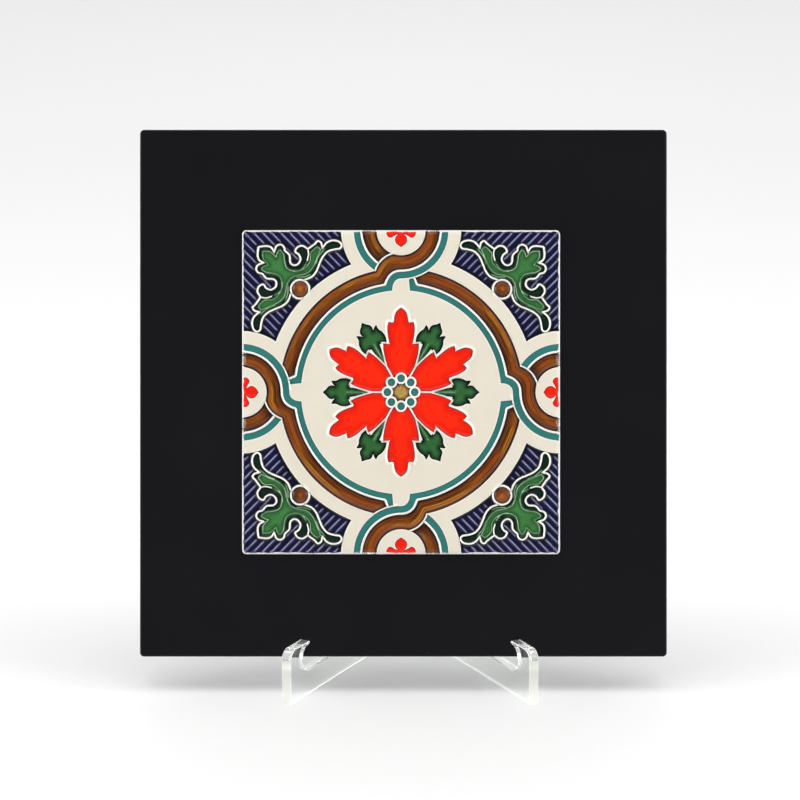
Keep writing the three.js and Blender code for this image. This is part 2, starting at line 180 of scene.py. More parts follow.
CORNER_SLIT = [[(44.0, 66.2), (43.6, 63.8), (44.3, 60.9)]]
CORNER_BODY_HALF = [
    [(52.4, 52.4), (49.6, 53.8), (44.6, 54.9), (41.6, 57.8), (39.6, 62.4), (37.9, 66.0)],
    [(37.9, 66.0), (39.6, 67.2), (41.6, 65.6), (42.7, 64.0), (43.0, 60.4), (45.6, 57.4), (49.8, 55.9),
     (53.8, 57.4), (55.0, 60.6), (55.4, 63.4), (57.0, 65.8), (58.4, 64.4), (58.9, 62.4)],
    [(58.9, 62.4), (61.6, 64.9), (65.2, 65.2)],
]
CORNER_VEINS = [
    [(45.0, 59.2), (46.6, 57.0), (48.8, 56.1), (52.3, 56.3)],
    [(43.0, 54.3), (45.6, 53.4), (49.0, 53.3)],
    [(40.2, 59.6), (38.8, 63.0), (36.4, 66.0)],
]
LEAF_VEIN = [[(0.0, 17.0), (0.0, 25.5)]]

# Glazes by their place in the tile's list of materials, and faces by theirs in the plates' list
NAVY, IVORY, LINE, TEAL, BROWN, RED, GREEN, OCHRE, BOSS, BISCUIT = range(10)
FACE, EDGE, SAWN, GROUND, ARRIS = range(5)


def millimetres(name, description, value):
    return FloatProperty(name=name, description=description, default=value * MM, unit="LENGTH")


def paint(name, description, default):
    return FloatVectorProperty(name=name, description=description, default=default, subtype="COLOR")


def number(name, description, default):
    return FloatProperty(name=name, description=description, default=default)


class TileSettings(bpy.types.PropertyGroup):
    """Sizes of the tile."""

    width: millimetres("Width", "Tile across", 150.7)
    height: millimetres("Height", "Tile up", 153.6)
    thickness: millimetres("Thickness", "Ground to back", 8)
    proud: millimetres("Proud", "Ground above the board", 1.6)
    shift_right: millimetres("Shift right", "From the board's middle", -1.1)
    shift_up: millimetres("Shift up", "From the board's middle", 0.45)
    corner: millimetres("Corner", "Radius of the corners", 2)
    rim_width: millimetres("Rim width", "Rounded edge", 1.1)
    rim_drop: millimetres("Rim drop", "Fall of the rounded edge", 0.7)


class BoardSettings(bpy.types.PropertyGroup):
    """Sizes and colour of the black board."""

    side: millimetres("Side", "Board across", 250)
    depth: millimetres("Depth", "Face to back", 18)
    corner: millimetres("Corner", "Radius of the corners", 2)
    softening: millimetres("Softening", "Rounding of the edges", 0.8)
    pocket_gap: millimetres("Pocket gap", "Round the tile", 0.35)
    colour: paint("Colour", "Lacquer", (0.0045, 0.0044, 0.006))


class StandSettings(bpy.types.PropertyGroup):
    """Sizes and colours of the clear plates."""

    thickness: millimetres("Thickness", "Plate", 5)
    turn: FloatProperty(
        name="Turn", description="Plates from straight back", default=math.radians(27.7), subtype="ANGLE")
    tint: paint("Tint", "Clear plate", (0.97, 0.985, 0.97))
    sawn_tint: paint("Sawn tint", "Straight sawn edges", (0.82, 0.83, 0.74))


class StageSettings(bpy.types.PropertyGroup):
    """Floor and light."""

    floor_colour: paint("Floor", "Plain pale floor", (0.82, 0.82, 0.82))
    front_power: number("Front light", "Watts", 2.1)
    top_power: number("Top light", "Watts", 5.1)
    back_power: number("Back light", "Watts", 3.0)
    side_power: number("Side lights", "Watts each", 4.4)
    fill_power: number("Fill lights", "Watts each", 0.9)
    walls: number("Walls", "Strength of the pale walls' light", 2.9)


# Paths


def arc(middle, radius, start, end, step=0.8):
    """Points along a circle between two angles in degrees."""
    count = max(2, math.ceil(radius * math.radians(abs(end - start)) / step) + 1)
    angles = np.radians(np.linspace(start, end, count))
    return np.array(middle) + radius * np.column_stack((np.cos(angles), np.sin(angles)))


def round_middle(radius, start, end):
    return arc((0, 0), radius, start, end)


def round_side(radius, start, end):
    return arc(SIDE_MIDDLE, radius, start, end)


def bend(start, leaving, arriving, end, count=12):
    """Points along a cubic curve."""
    share = np.linspace(0, 1, count)[:, None]
    start, leaving, arriving, end = (np.array(p, float) for p in (start, leaving, arriving, end))
    back = 1 - share
    return (back ** 3 * start + 3 * back ** 2 * share * leaving
            + 3 * back * share ** 2 * arriving + share ** 3 * end)


def rounded(stroke, step=0.55):
    """A smooth path through the points of one stroke."""
    knots = np.array(stroke, float)
    knots = np.vstack((2 * knots[0] - knots[1], knots, 2 * knots[-1] - knots[-2]))
    path = [knots[1]]
    for a, b, c, d in zip(knots, knots[1:], knots[2:], knots[3:]):
        for share in np.linspace(0, 1, max(2, math.ceil(np.linalg.norm(c - b) / step)) + 1)[1:]:
            path.append(0.5 * (2 * b + (c - a) * share + (2 * a - 5 * b + 4 * c - d) * share ** 2
                               + (3 * b - a - 3 * c + d) * share ** 3))
    return np.array(path)


def drawn(strokes):
    """Strokes that meet at sharp corners, as one path."""
    paths = [rounded(stroke) for stroke in strokes]
    return np.vstack([paths[0]] + [path[1:] for path in paths[1:]])


def resampled(path, step):
    """The same path with its points evenly spaced."""
    lengths = np.concatenate(([0], np.cumsum(np.linalg.norm(np.diff(path, axis=0), axis=1))))
    count = max(2, round(lengths[-1] / step) + 1)
    at = np.linspace(0, lengths[-1], count)
    return np.column_stack([np.interp(at, lengths, path[:, k]) for k in (0, 1)])


def offset(path, distance):
    """A path beside another one."""
    along = np.gradient(path, axis=0)
    along /= np.linalg.norm(along, axis=1)[:, None]
    return path + distance * np.column_stack((-along[:, 1], along[:, 0]))


def turned(path, degrees):
    """The path turned round the middle of the tile."""
    angle = math.radians(degrees)
    return path @ np.array(((math.cos(angle), math.sin(angle)), (-math.sin(angle), math.cos(angle))))


def on_petal(path):
    """From (across, along) a petal to the slice of the flower between a leaf's and a petal's middle."""
    out = np.radians(30)
    return np.outer(path[:, 1], (math.cos(out), math.sin(out))) + np.outer(
        path[:, 0], (math.sin(out), -math.cos(out)))


def on_leaf(path):
    """From (across, along) a leaf of the flower to the same slice."""
    return path[:, ::-1]


class Pattern:
    """Paths of the strapwork, the flower and the corner, each in its own smallest slice."""

    def __init__(self):
        ridge_start = round_middle(RIDGE_RADIUS, OVER_BEND, OVER_BEND)[0]
        self.over_ridge = np.vstack((
            round_middle(RIDGE_RADIUS, 138, OVER_BEND),
            bend(ridge_start, ridge_start + (0.9, 3.6), (-4.4, 56.25), (0, 56.25))[1:],
            round_side(SIDE_RIDGE_RADIUS, 270, 364)[1:],
        ))
        self.over_edge = arc((-1.2, 53), 11.5, 162.5, 101.5)
        edge_top = self.over_edge[-1] - SIDE_MIDDLE
        disc_start = 360 + math.degrees(math.atan2(edge_top[1], edge_top[0]))
        self.disc_over = round_side(DISC_RADIUS, disc_start, 364)
        self.disc_under = round_side(DISC_RADIUS, 176, disc_start)
        self.ring_outer_over = round_middle(BAND_INNER_RADIUS, 138, 102.3)
        self.lobe_side = bend(
            (-LOBE_HALF_WIDTH, LOBE_CORNER_Y), (-LOBE_HALF_WIDTH, LOBE_CORNER_Y + 3.9),
            (-2.3, LOBE_TOP), (0, LOBE_TOP))
        self.field_left = round_middle(FIELD_RADIUS, 138, 180 - LOBE_ANGLE)
        self.field_right = round_middle(FIELD_RADIUS, LOBE_ANGLE, 42)
        self.side_field_over = round_side(SIDE_FIELD_RADIUS, 270, 364)
        self.side_line = round_side(SIDE_LINE_RADIUS, 274, 303)
        self.lobe_right = np.array(((LOBE_HALF_WIDTH, LOBE_CORNER_Y), (3.95, 49.6), (3.6, LOBE_TOP + 0.3)))
        self.over_brown = np.vstack((
            self.ring_outer_over, self.over_edge, self.disc_over, self.over_ridge[::-1]))
        self.over_teal = np.vstack((
            self.over_ridge, self.side_field_over[::-1], self.lobe_side[::-1], self.field_left[::-1]))
        self.over_zone = np.vstack((
            self.ring_outer_over, self.over_edge, self.disc_over,
            self.side_field_over[::-1], self.lobe_side[::-1], self.field_left[::-1]))
        self.under_ridge = np.vstack((TURN_HIGH, round_middle(RIDGE_RADIUS, 81.4, 42)))
        self.under_side_ridge = round_side(SIDE_RIDGE_RADIUS, 176, 250)
        self.ring_outer_under = round_middle(BAND_INNER_RADIUS, 78.4, 42)
        self.side_field_under = round_side(SIDE_FIELD_RADIUS, 176, 236)
        self.band_outer = [
            round_middle(BAND_OUTER_RADIUS, 42, 68.4), round_middle(BAND_OUTER_RADIUS, 111.6, 138)]
        self.side_band = [round_side(SIDE_BAND_RADIUS, 176, 214.2), round_side(SIDE_BAND_RADIUS, 325.8, 364)]
        self.side_flower = drawn(SIDE_FLOWER_HALF)

        self.leaf_line = drawn(CORNER_LEAF_HALF)
        self.slit = drawn(CORNER_SLIT)
        self.body = drawn(CORNER_BODY_HALF)
        self.veins = [drawn([stroke]) for stroke in CORNER_VEINS]
        self.boss_ring = arc(BOSS_PLACE, BOSS_RING_RADIUS, 45, 225, 0.5)

        self.petal_line = on_petal(drawn(PETAL_HALF))
        self.spoke = np.array(((SPOKE_START, 0.0), (SPOKE_END, 0.0)))
        self.flower_leaf = on_leaf(drawn(FLOWER_LEAF_HALF))
        self.leaf_vein = on_leaf(drawn(LEAF_VEIN))


pattern = Pattern()


# Where a place of the tile lies in the pattern


def distance(places, path, reach=6.0):
    """Distance of each place from a path, no more than reach."""
    found = np.full(len(places), reach)
    span = 12
    for start in range(0, len(path) - 1, span):
        piece = path[start:start + span + 1]
        low, high = piece.min(0) - reach, piece.max(0) + reach
        near = np.nonzero(((places >= low) & (places <= high)).all(1))[0]
        if len(near):
            rest = places[near][:, None] - piece[None, :-1]
            along = (piece[1:] - piece[:-1])[None]
            share = ((rest * along).sum(2) / (along ** 2).sum(2)).clip(0, 1)
            gap = np.linalg.norm(rest - along * share[..., None], axis=2).min(1)
            found[near] = np.minimum(found[near], gap)
    return found


def inside(places, outline):
    """Which places lie inside a closed outline."""
    found = np.zeros(len(places), bool)
    low, high = outline.min(0), outline.max(0)
    near = np.nonzero(((places >= low) & (places <= high)).all(1))[0]
    x, y = places[near].T
    odd = np.zeros(len(near), bool)
    for (ax, ay), (bx, by) in zip(outline, np.roll(outline, -1, axis=0)):
        if ay != by:
            crosses = (ay > y) != (by > y)
            odd ^= crosses & (x < ax + (y - ay) * (bx - ax) / (by - ay))
    found[near] = odd
    return found


def to_top(places):
    """Each place turned by quarter turns into the slice round the top crossing."""
    x, y = places.T
    found = places.copy()
    right, left, low = x > np.abs(y), -x > np.abs(y), -y >= np.abs(x)
    found[right] = np.column_stack((-y[right], x[right]))
    found[left] = np.column_stack((y[left], -x[left]))
    found[low] = -places[low]
    return found


def to_corner(places):
    """Each place mirrored into the half corner above the diagonal."""
    return np.sort(np.abs(places), axis=1)


def folded(places, slice_angle):
    """Each place turned and mirrored into a slice of the circle that starts at +X."""
    radius = np.linalg.norm(places, axis=1)
    angle = np.mod(np.arctan2(places[:, 1], places[:, 0]), 2 * slice_angle)
    angle = np.minimum(angle, 2 * slice_angle - angle)
    return np.column_stack((radius * np.cos(angle), radius * np.sin(angle)))


class Survey:
    """What is at each place: its glaze, how far it is from the glaze's edge, and the fine crests."""

    def __init__(self, places):
        self.places = places
        self.glaze = np.full(len(places), NAVY)
        self.inset = np.full(len(places), 6.0)
        self.shelf = np.full(len(places), 6.0)
        self.ground = np.full(len(places), FOOT)
        self.across = np.full(len(places), 0.5)
        self.crest = np.zeros(len(places))
        self.line_half = np.full(len(places), RIDGE_HALF)
        self.radius = np.linalg.norm(places, axis=1)
        self.top = to_top(places)
        self.corner = to_corner(places)
        self.strapwork()
        self.corner_leaf()
        self.side_flower()
        self.flower()

    def edge(self, where, gap):
        """An edge between two glazes."""
        self.inset[where] = np.minimum(self.inset[where], gap[where])
        self.shelf[where] = np.minimum(self.shelf[where], gap[where])

    def line(self, where, gap, half):
        """A raised white line."""
        on = where & (gap < half)
        self.ground[on & (self.glaze == IVORY)] = FOOT + IVORY_RISE
        self.glaze[on] = LINE
        self.line_half[on] = half
        self.inset[where] = np.minimum(self.inset[where], np.abs(gap - half)[where])

    def strapwork(self):
        """The field, the two straps where they cross, and the bands beside them."""
        top, radius, p = self.top, self.radius, pattern
        side = np.linalg.norm(top - SIDE_MIDDLE, axis=1)
        x, y = top.T
        everywhere = np.ones(len(top), bool)
        self.glaze[(radius < BAND_OUTER_RADIUS) | (side < SIDE_BAND_RADIUS)] = IVORY
        over = inside(top, p.over_zone)
        under = ~over
        right = (x > 0) & (side > SIDE_FIELD_RADIUS) & under
        ring = right & (radius > FIELD_RADIUS) & (radius < BAND_INNER_RADIUS)
        self.glaze[ring] = BROWN
        (low_x, low_y), (high_x, high_y) = TURN_LOW, TURN_HIGH
        before_turn = (x - low_x) * (high_y - low_y) < (high_x - low_x) * (y - low_y)
        past_lobe = x > LOBE_HALF_WIDTH - 0.09 * (y - LOBE_CORNER_Y)
        self.glaze[ring & ((radius < RIDGE_RADIUS) | before_turn)] = TEAL
        self.glaze[ring & ~past_lobe] = IVORY
        left = (x <= 0) & under
        self.glaze[left & (side > DISC_RADIUS) & (side < SIDE_RIDGE_RADIUS)] = BROWN
        self.glaze[left & (side >= SIDE_RIDGE_RADIUS) & (side < SIDE_FIELD_RADIUS)] = TEAL
        self.glaze[inside(top, p.over_brown)] = BROWN
        self.glaze[inside(top, p.over_teal)] = TEAL
        strap_near = (np.abs(radius - STRAP_MIDDLE) < STRAP_REACH) | (
            np.abs(side - SIDE_STRAP_MIDDLE) < STRAP_REACH)
        outer = (p.ring_outer_over, p.over_edge, p.disc_over)
        upper = over | (np.min([distance(top, path, 1.0) for path in outer], axis=0) < 0.3)
        lower = strap_near & ~upper
        self.strap_sides(strap_near & upper, p.over_ridge, outer)
        self.strap_sides(lower & (x > 0), p.under_ridge, (p.ring_outer_under,))
        self.strap_sides(lower & (x <= 0), p.under_side_ridge, (p.disc_under,))
        covered = np.min([distance(top, path, 6.0) for path in (p.over_edge, p.over_ridge)], axis=0)
        self.crest[lower] = 1 - ease(covered[lower] / COVERED_SHADE)

        for path in (p.disc_over, p.disc_under, p.ring_outer_over, p.lobe_side, p.field_left,
                     p.side_field_over, *p.band_outer, *p.side_band):
            self.edge(everywhere, distance(top, path))
        for path in (p.field_right, p.lobe_right, p.ring_outer_under, p.side_field_under):
            self.edge(under, distance(top, path))
        self.line(under, distance(top, p.under_ridge), RIDGE_HALF)
        self.line(under, distance(top, p.under_side_ridge), RIDGE_HALF)
        self.line(under, distance(top, p.side_line), FINE_HALF)
        self.line(everywhere, distance(top, p.over_ridge), RIDGE_HALF)
        self.line(everywhere, distance(top, p.over_edge), EDGE_HALF)

    def strap_sides(self, where, ridge, outer):
        """The place across the strap, from 0 at its ridge to 1 at its other side."""
        inner_gap = (distance(self.top[where], ridge, 9.0) - RIDGE_HALF).clip(0.001, None)
        outer_gap = np.min([distance(self.top[where], path, 9.0) for path in outer], axis=0)
        self.across[where] = inner_gap / (inner_gap + outer_gap)

    def corner_leaf(self):
        """The corner's leaf with its boss, and the hatched ground round it."""
        corner, p = self.corner, pattern
        everywhere = np.ones(len(corner), bool)
        boss = np.linalg.norm(corner - BOSS_PLACE, axis=1)
        outline = np.vstack((p.leaf_line, p.leaf_line[::-1, ::-1]))
        leaf = inside(corner, outline) & (boss > BOSS_RING_RADIUS)
        self.glaze[leaf] = GREEN
        self.glaze[boss < BOSS_RING_RADIUS] = BOSS
        near = self.corner.min(1) > 24
        self.line(near, distance(corner, p.leaf_line), LEAF_LINE_HALF)
        self.line(near & leaf, distance(corner, p.slit), FINE_HALF)
        self.line(everywhere, np.abs(boss - BOSS_RING_RADIUS), RING_LINE_HALF)

        body_outline = np.vstack((p.body, p.body[::-1, ::-1]))
        body = inside(corner, body_outline) & leaf
        depth = distance(corner, p.body)
        self.crest[body] = BODY_CREST + BODY_SWELL * ease(depth[body] / BODY_SWELL_WIDTH)
        vein = np.min([distance(corner, path, 2.0) for path in (p.body, *p.veins)], axis=0)
        self.crest[leaf & ~body] = 0
        self.crest[leaf] = np.maximum(self.crest[leaf], ease(1.2 - vein[leaf] / VEIN_HALF))

        ground = self.glaze == NAVY
        across = np.abs(corner[:, 1] - corner[:, 0])
        gap = np.abs(across - HATCH_PITCH * np.round(across / HATCH_PITCH)) / math.sqrt(2)
        band = np.minimum(np.abs(self.radius - BAND_OUTER_RADIUS),
                          np.abs(np.linalg.norm(self.top - SIDE_MIDDLE, axis=1) - SIDE_BAND_RADIUS))
        ends = np.minimum((self.inset - 0.6) / 0.8, (band - 1.3) / 0.8).clip(0, 1)
        ends *= ((boss - BOSS_RING_RADIUS - 2.2) / 0.8).clip(0, 1)
        self.crest[ground] = ((1 - gap / HATCH_HALF).clip(0, 1) * ends)[ground]

    def side_flower(self):
        """The half flower on the side disc."""
        half = np.column_stack((np.abs(self.top[:, 0]), self.top[:, 1]))
        near = np.linalg.norm(half - SIDE_MIDDLE, axis=1) < DISC_RADIUS
        outline = np.vstack((pattern.side_flower, (-1, 67.1), (-1, MOULD_HALF + 4), (7.2, MOULD_HALF + 4)))
        self.glaze[near & inside(half, outline)] = RED
        self.edge(near, distance(half, pattern.side_flower))

    def flower(self):
        """The middle flower with its leaves, its pearls and its heart."""
        p = pattern
        near = self.radius < FIELD_RADIUS - 1
        sixth = folded(self.places, math.radians(30))
        leaf = near & inside(sixth, np.vstack((p.flower_leaf, (36.7, -1), (14.7, -1))))
        petal_outline = np.vstack((p.petal_line, (SPOKE_END, 0), (2.0, 0), (2.0, 2.0)))
        petal_side = on_petal(np.array(((-1.0, 2.0), (-1.0, 40.0))))
        petal = near & inside(sixth, np.vstack((petal_outline, petal_side)))
        leaf &= ~petal
        self.glaze[leaf] = GREEN
        self.glaze[petal] = RED
        self.edge(near, distance(sixth, p.flower_leaf))
        vein = distance(sixth, p.leaf_vein, 2.0)
        self.crest[leaf] = ((self.inset[leaf] - 0.7) / 4.0).clip(0, 0.42)
        self.crest[leaf] = np.maximum(self.crest[leaf], (0.95 - vein[leaf] / VEIN_HALF).clip(0, 1))
        self.line(near, distance(sixth, p.petal_line), PETAL_LINE_HALF)
        self.line(near, distance(sixth, p.spoke), PETAL_LINE_HALF)

        eighth = folded(self.places, math.radians(22.5))
        pearl = np.linalg.norm(eighth - (PEARL_CIRCLE, 0), axis=1)
        centre = near & (self.radius < PEARL_CIRCLE + PEARL_RING_RADIUS)
        self.edge(centre, np.abs(pearl - PEARL_RING_RADIUS))
        heart = centre & (self.radius < PEARL_CIRCLE) & (pearl >= PEARL_RING_RADIUS)
        self.glaze[heart] = OCHRE
        ring = pearl < PEARL_RING_RADIUS
        self.glaze[ring] = LINE
        self.line_half[ring] = (PEARL_RING_RADIUS - PEARL_DOT_RADIUS) / 2
        self.inset[ring] = np.minimum(PEARL_RING_RADIUS - pearl, np.abs(pearl - PEARL_DOT_RADIUS))[ring]
        self.glaze[pearl < PEARL_DOT_RADIUS] = TEAL
        self.inset[heart] = (PEARL_CIRCLE - PEARL_RING_RADIUS + 0.3 - self.radius[heart]).clip(0, None)


def groove(across, middle, width):
    """A rounded groove along the strap."""
    return np.exp(-((across - middle) / width) ** 2)


def swell(inset, width):
    """A quarter round that rises from 0 at the edge to 1 at width."""
    return np.sqrt(1 - (1 - (inset / width).clip(0, 1)) ** 2)


def ease(value):
    """A value between 0 and 1, eased at both ends."""
    value = value.clip(0, 1)
    return value * value * (3 - 2 * value)


def relief_height(found):
    """Height over the tile's ground, in millimetres."""
    inset, crest, shelf, across = found.inset, found.crest, found.shelf, found.across
    strap = np.sin(math.pi / 2 * (inset / 3.2).clip(0, 1))
    for middle, depth in STRAP_GROOVES:
        strap -= depth * groove(across, middle, GROOVE_WIDTH) * ease(inset / 0.5)
    lip = ease(shelf / 0.35) * (1 - ease((shelf - 0.5) / 1.2))
    heights = {
        NAVY: FOOT * (1 - ease(inset / 0.5)) + 0.42 * ease(crest),
        IVORY: FOOT + IVORY_RISE * ease(shelf / 0.35) + 0.1 * lip,
        LINE: found.ground + (CREST_RISE + FOOT - found.ground) * swell(inset, found.line_half),
        TEAL: np.full(len(inset), FOOT),
        BROWN: FOOT + 0.68 * strap,
        RED: FOOT + 0.42 * ease(inset / 1.5) + 0.16 * ease((inset - 1) / 4),
        GREEN: FOOT + 0.2 * ease(inset / 0.8) + 0.42 * ease(crest),
        OCHRE: FOOT + 1.15 * swell(inset, 3.6),
        BOSS: FOOT + 1.1 * swell(inset, BOSS_RING_RADIUS - RING_LINE_HALF),
    }
    height = np.zeros(len(inset))
    for glaze, values in heights.items():
        chosen = found.glaze == glaze
        height[chosen] = values[chosen]
    pearl = (found.radius < PEARL_CIRCLE + PEARL_DOT_RADIUS + 0.1) & (found.glaze == TEAL)
    height[pearl] = (FOOT + 0.5 * swell(inset, PEARL_DOT_RADIUS))[pearl]
    return height


# The net of points over the tile


def at_quarters(path):
    """The path at all four sides of the tile."""
    return [turned(path, -90 * k) for k in range(4)]


def at_corners(path):
    """The half corner's path at both sides of each diagonal."""
    return [copy for half in (path, path[:, ::-1]) for copy in at_quarters(half)]


def round_flower(path):
    """The slice's path all round the flower."""
    mirrored = path * (1, -1)
    return [turned(half, 60 * k) for half in (path, mirrored) for k in range(6)]


def rows(path, half, step=0.7):
    """The crest, shoulders and feet of a raised line."""
    even = resampled(path, step)
    return [offset(even, half * share) for share in (-1, -0.7, 0, 0.7, 1)]


def stretches(keep):
    """Start and end of each run of places to keep, for runs of two or more."""
    changes = np.flatnonzero(np.diff(np.concatenate(([0], keep.astype(int), [0]))))
    return [(a, b) for a, b in zip(changes[::2], changes[1::2]) if b - a > 1]


def outside_over(paths):
    """Paths of the lower strap, cut where the upper one covers them."""
    return [path[a:b] for path in paths for a, b in stretches(~inside(path, pattern.over_zone))]


def hatch_paths():
    """The fine lines of the dark ground in the half corner, with their feet."""
    paths = []
    for k in range(HATCH_COUNT):
        for side in (-0.5, 0, 0.5):
            across = HATCH_PITCH * k + side * math.sqrt(2)
            line = np.column_stack(((HATCH_ALONG - across) / 2, (HATCH_ALONG + across) / 2))
            found = Survey(line)
            clear = (found.glaze == NAVY) & (found.inset > 0.75) & (line.max(1) < 73.5) & (across > -1)
            paths += [line[a:b] for a, b in stretches(clear)]
    return paths


def pattern_paths():
    """Every path that the net of points follows."""
    p = pattern
    top = [
        p.disc_over, p.disc_under, p.ring_outer_over, p.lobe_side, p.field_left, p.side_field_over,
        *p.band_outer, *p.side_band, *rows(p.over_ridge, RIDGE_HALF), *rows(p.over_edge, EDGE_HALF),
        p.side_flower, p.side_flower * (-1, 1),
    ]
    strap_width = BAND_INNER_RADIUS - RIDGE_RADIUS - RIDGE_HALF
    for middle, _ in STRAP_GROOVES:
        for across in (middle - GROOVE_WIDTH, middle, middle + GROOVE_WIDTH):
            away = RIDGE_HALF + across * strap_width
            top.append(offset(resampled(p.over_ridge, 0.7), away))
            top += outside_over((
                round_middle(RIDGE_RADIUS + away, 84, 45), round_side(SIDE_RIDGE_RADIUS - away, 180, 255)))
    top += outside_over([
        p.field_right, resampled(p.lobe_right, 0.7), p.ring_outer_under, p.side_field_under,
        *rows(p.under_ridge, RIDGE_HALF), *rows(p.under_side_ridge, RIDGE_HALF),
        *rows(p.side_line, FINE_HALF),
    ])
    top += [offset(resampled(p.over_ridge, 0.7), -beside) for beside in RIDGE_BESIDE]
    top += outside_over(round_middle(radius, 84, 45) for radius in FIELD_ROWS)
    top += outside_over(round_side(radius, 180, 240) for radius in SIDE_FIELD_ROWS)
    top += [round_middle(FIELD_RADIUS - inset, 135, 45) for inset in (0.4, 1.2)]
    for radius in (BAND_OUTER_RADIUS - 0.4, BAND_OUTER_RADIUS - 1.2, BAND_INNER_RADIUS + 0.4):
        top += [round_middle(radius, 45, 66), round_middle(radius, 114, 135)]
    for radius in (SIDE_BAND_RADIUS - 0.4, SIDE_BAND_RADIUS - 1.2, SIDE_FIELD_RADIUS + 0.4):
        top += [round_side(radius, 180, 212), round_side(radius, 328, 360)]
    top += [round_side(DISC_RADIUS - inset, 180, 360) for inset in (0.4, 1.2)]

    corner = [*rows(p.leaf_line, LEAF_LINE_HALF, 0.6), *rows(p.slit, FINE_HALF), *hatch_paths()]
    for path in (p.body, *p.veins):
        corner += [offset(resampled(path, 0.6), side) for side in (-VEIN_BESIDE, 0, VEIN_BESIDE)]
    corner += [arc(BOSS_PLACE, radius, 45, 225, 0.5) for radius in BOSS_ROWS]

    slices = [
        *rows(p.petal_line, PETAL_LINE_HALF, 0.6), offset(resampled(p.flower_leaf, 0.6), 0.35),
        resampled(p.flower_leaf, 0.6), offset(resampled(p.flower_leaf, 0.6), -0.6), p.leaf_vein,
    ]
    paths = []
    for group, copies in ((top, at_quarters), (corner, at_corners), (slices, round_flower)):
        for path in group:
            paths += copies(path)
    for k in range(6):
        for side in (-PETAL_LINE_HALF, 0, PETAL_LINE_HALF):
            paths.append(turned(resampled(p.spoke + (0, side), 0.7), 60 * k))
    for k in range(8):
        middle = turned(np.array(((PEARL_CIRCLE, 0.0),)), 45 * k)[0]
        for radius in PEARL_ROWS:
            paths.append(arc(middle, radius, 0, 360, 0.45))
    return paths + [arc((0, 0), radius, 0, 360, 0.5) for radius in HEART_ROWS]


CORNER_STEPS = 6


def rounded_rectangle(width, height, radius, inset=0.0, spacing=None):
    """An outline round a rectangle with round corners, at one distance inside its edge."""
    radius = max(radius - inset, 0.02)
    x, y = width / 2 - inset - radius, height / 2 - inset - radius
    loop = []
    for sx, sy, start in ((1, 1, 0), (-1, 1, 90), (-1, -1, 180), (1, -1, 270)):
        for k in range(CORNER_STEPS + 1):
            angle = math.radians(start + 90 * k / CORNER_STEPS)
            loop.append((sx * x + radius * math.cos(angle), sy * y + radius * math.sin(angle)))
    loop = np.array(loop)
    if spacing is None:
        return loop
    filled = []
    for a, b in zip(loop, np.roll(loop, -1, axis=0)):
        steps = max(1, round(np.linalg.norm(b - a) / spacing))
        filled += [a + (b - a) * k / steps for k in range(steps)]
    return np.array(filled)


def edge_distance(places, width, height, radius):
    """How far each place is inside the edge of a rectangle with round corners."""
    beyond = np.abs(places) - (width / 2 - radius, height / 2 - radius)
    outer = np.linalg.norm(beyond.clip(0, None), axis=1)
    return radius - outer - np.minimum(beyond.max(1), 0)


def between_paths(taken, width, height, corner_radius, margin):
    """Evenly spread places that keep clear of the paths, fewer where the glaze lies flat."""
    across = math.ceil(width / CROWD_CELL) + 8
    up = math.ceil(height / CROWD_CELL) + 8

    def cells(places):
        return (np.floor(places / CROWD_CELL) + (across // 2, up // 2)).astype(int).T

    crowded = np.zeros((across, up), bool)
    column, row = cells(taken)
    for a in (-1, 0, 1):
        for b in (-1, 0, 1):
            crowded[column + a, row + b] = True
    j, i = np.mgrid[-NET_ROWS:NET_ROWS + 1, -NET_COLUMNS:NET_COLUMNS + 1]
    places = NET_SPACING * np.column_stack(((i + 0.5 * (j % 2)).ravel(), j.ravel() * math.sqrt(0.75)))
    thinned = ((i % 2 == 0) & (j % 4 == 0) | (i % 2 == 1) & (j % 4 == 2)).ravel()
    within = edge_distance(places, width, height, corner_radius) > margin + 0.5
    places, thinned = places[within], thinned[within]
    column, row = cells(places)
    free = ~crowded[column, row]
    places, thinned = places[free], thinned[free]
    found = Survey(places / (np.array((width, height)) / (2 * MOULD_HALF)))
    flat = (found.glaze == IVORY) & (found.shelf > 2.0) & (found.inset > 1.0)
    return places[~flat | thinned]


def tile_net(width, height, corner_radius, rim_width):
    """Vertices in millimetres and triangles over the face of the tile."""
    stretch = np.array((width, height)) / (2 * MOULD_HALF)
    vertices, edges = [], []

    def keep(path, closed=False):
        first = len(vertices)
        vertices.extend(path)
        edges.extend((first + k, first + k + 1) for k in range(len(path) - 1))
        if closed:
            edges.append((first + len(path) - 1, first))

    relief_edge = rim_width + 0.3
    for path in pattern_paths():
        on_tile = path * stretch
        clear = edge_distance(on_tile, width, height, corner_radius) > relief_edge
        for a, b in stretches(clear):
            keep(on_tile[a:b])
    for inset in (relief_edge, rim_width, rim_width * 0.6, rim_width * 0.3, rim_width * 0.1, 0):
        keep(rounded_rectangle(width, height, corner_radius, inset, spacing=1.0), closed=True)

    vertices.extend(between_paths(np.array(vertices), width, height, corner_radius, relief_edge))
    found = delaunay_2d_cdt([Vector(v) for v in vertices], edges, [], 0, 1e-3)
    places = np.array([tuple(v) for v in found[0]])
    return places, np.array([f for f in found[2] if len(f) == 3])


def finished(shape, mesh):
    """The mesh with the shape in it, its faces looking outwards."""
    bmesh.ops.recalc_face_normals(shape, faces=shape.faces)
    shape.to_mesh(mesh)
    shape.free()
    return mesh


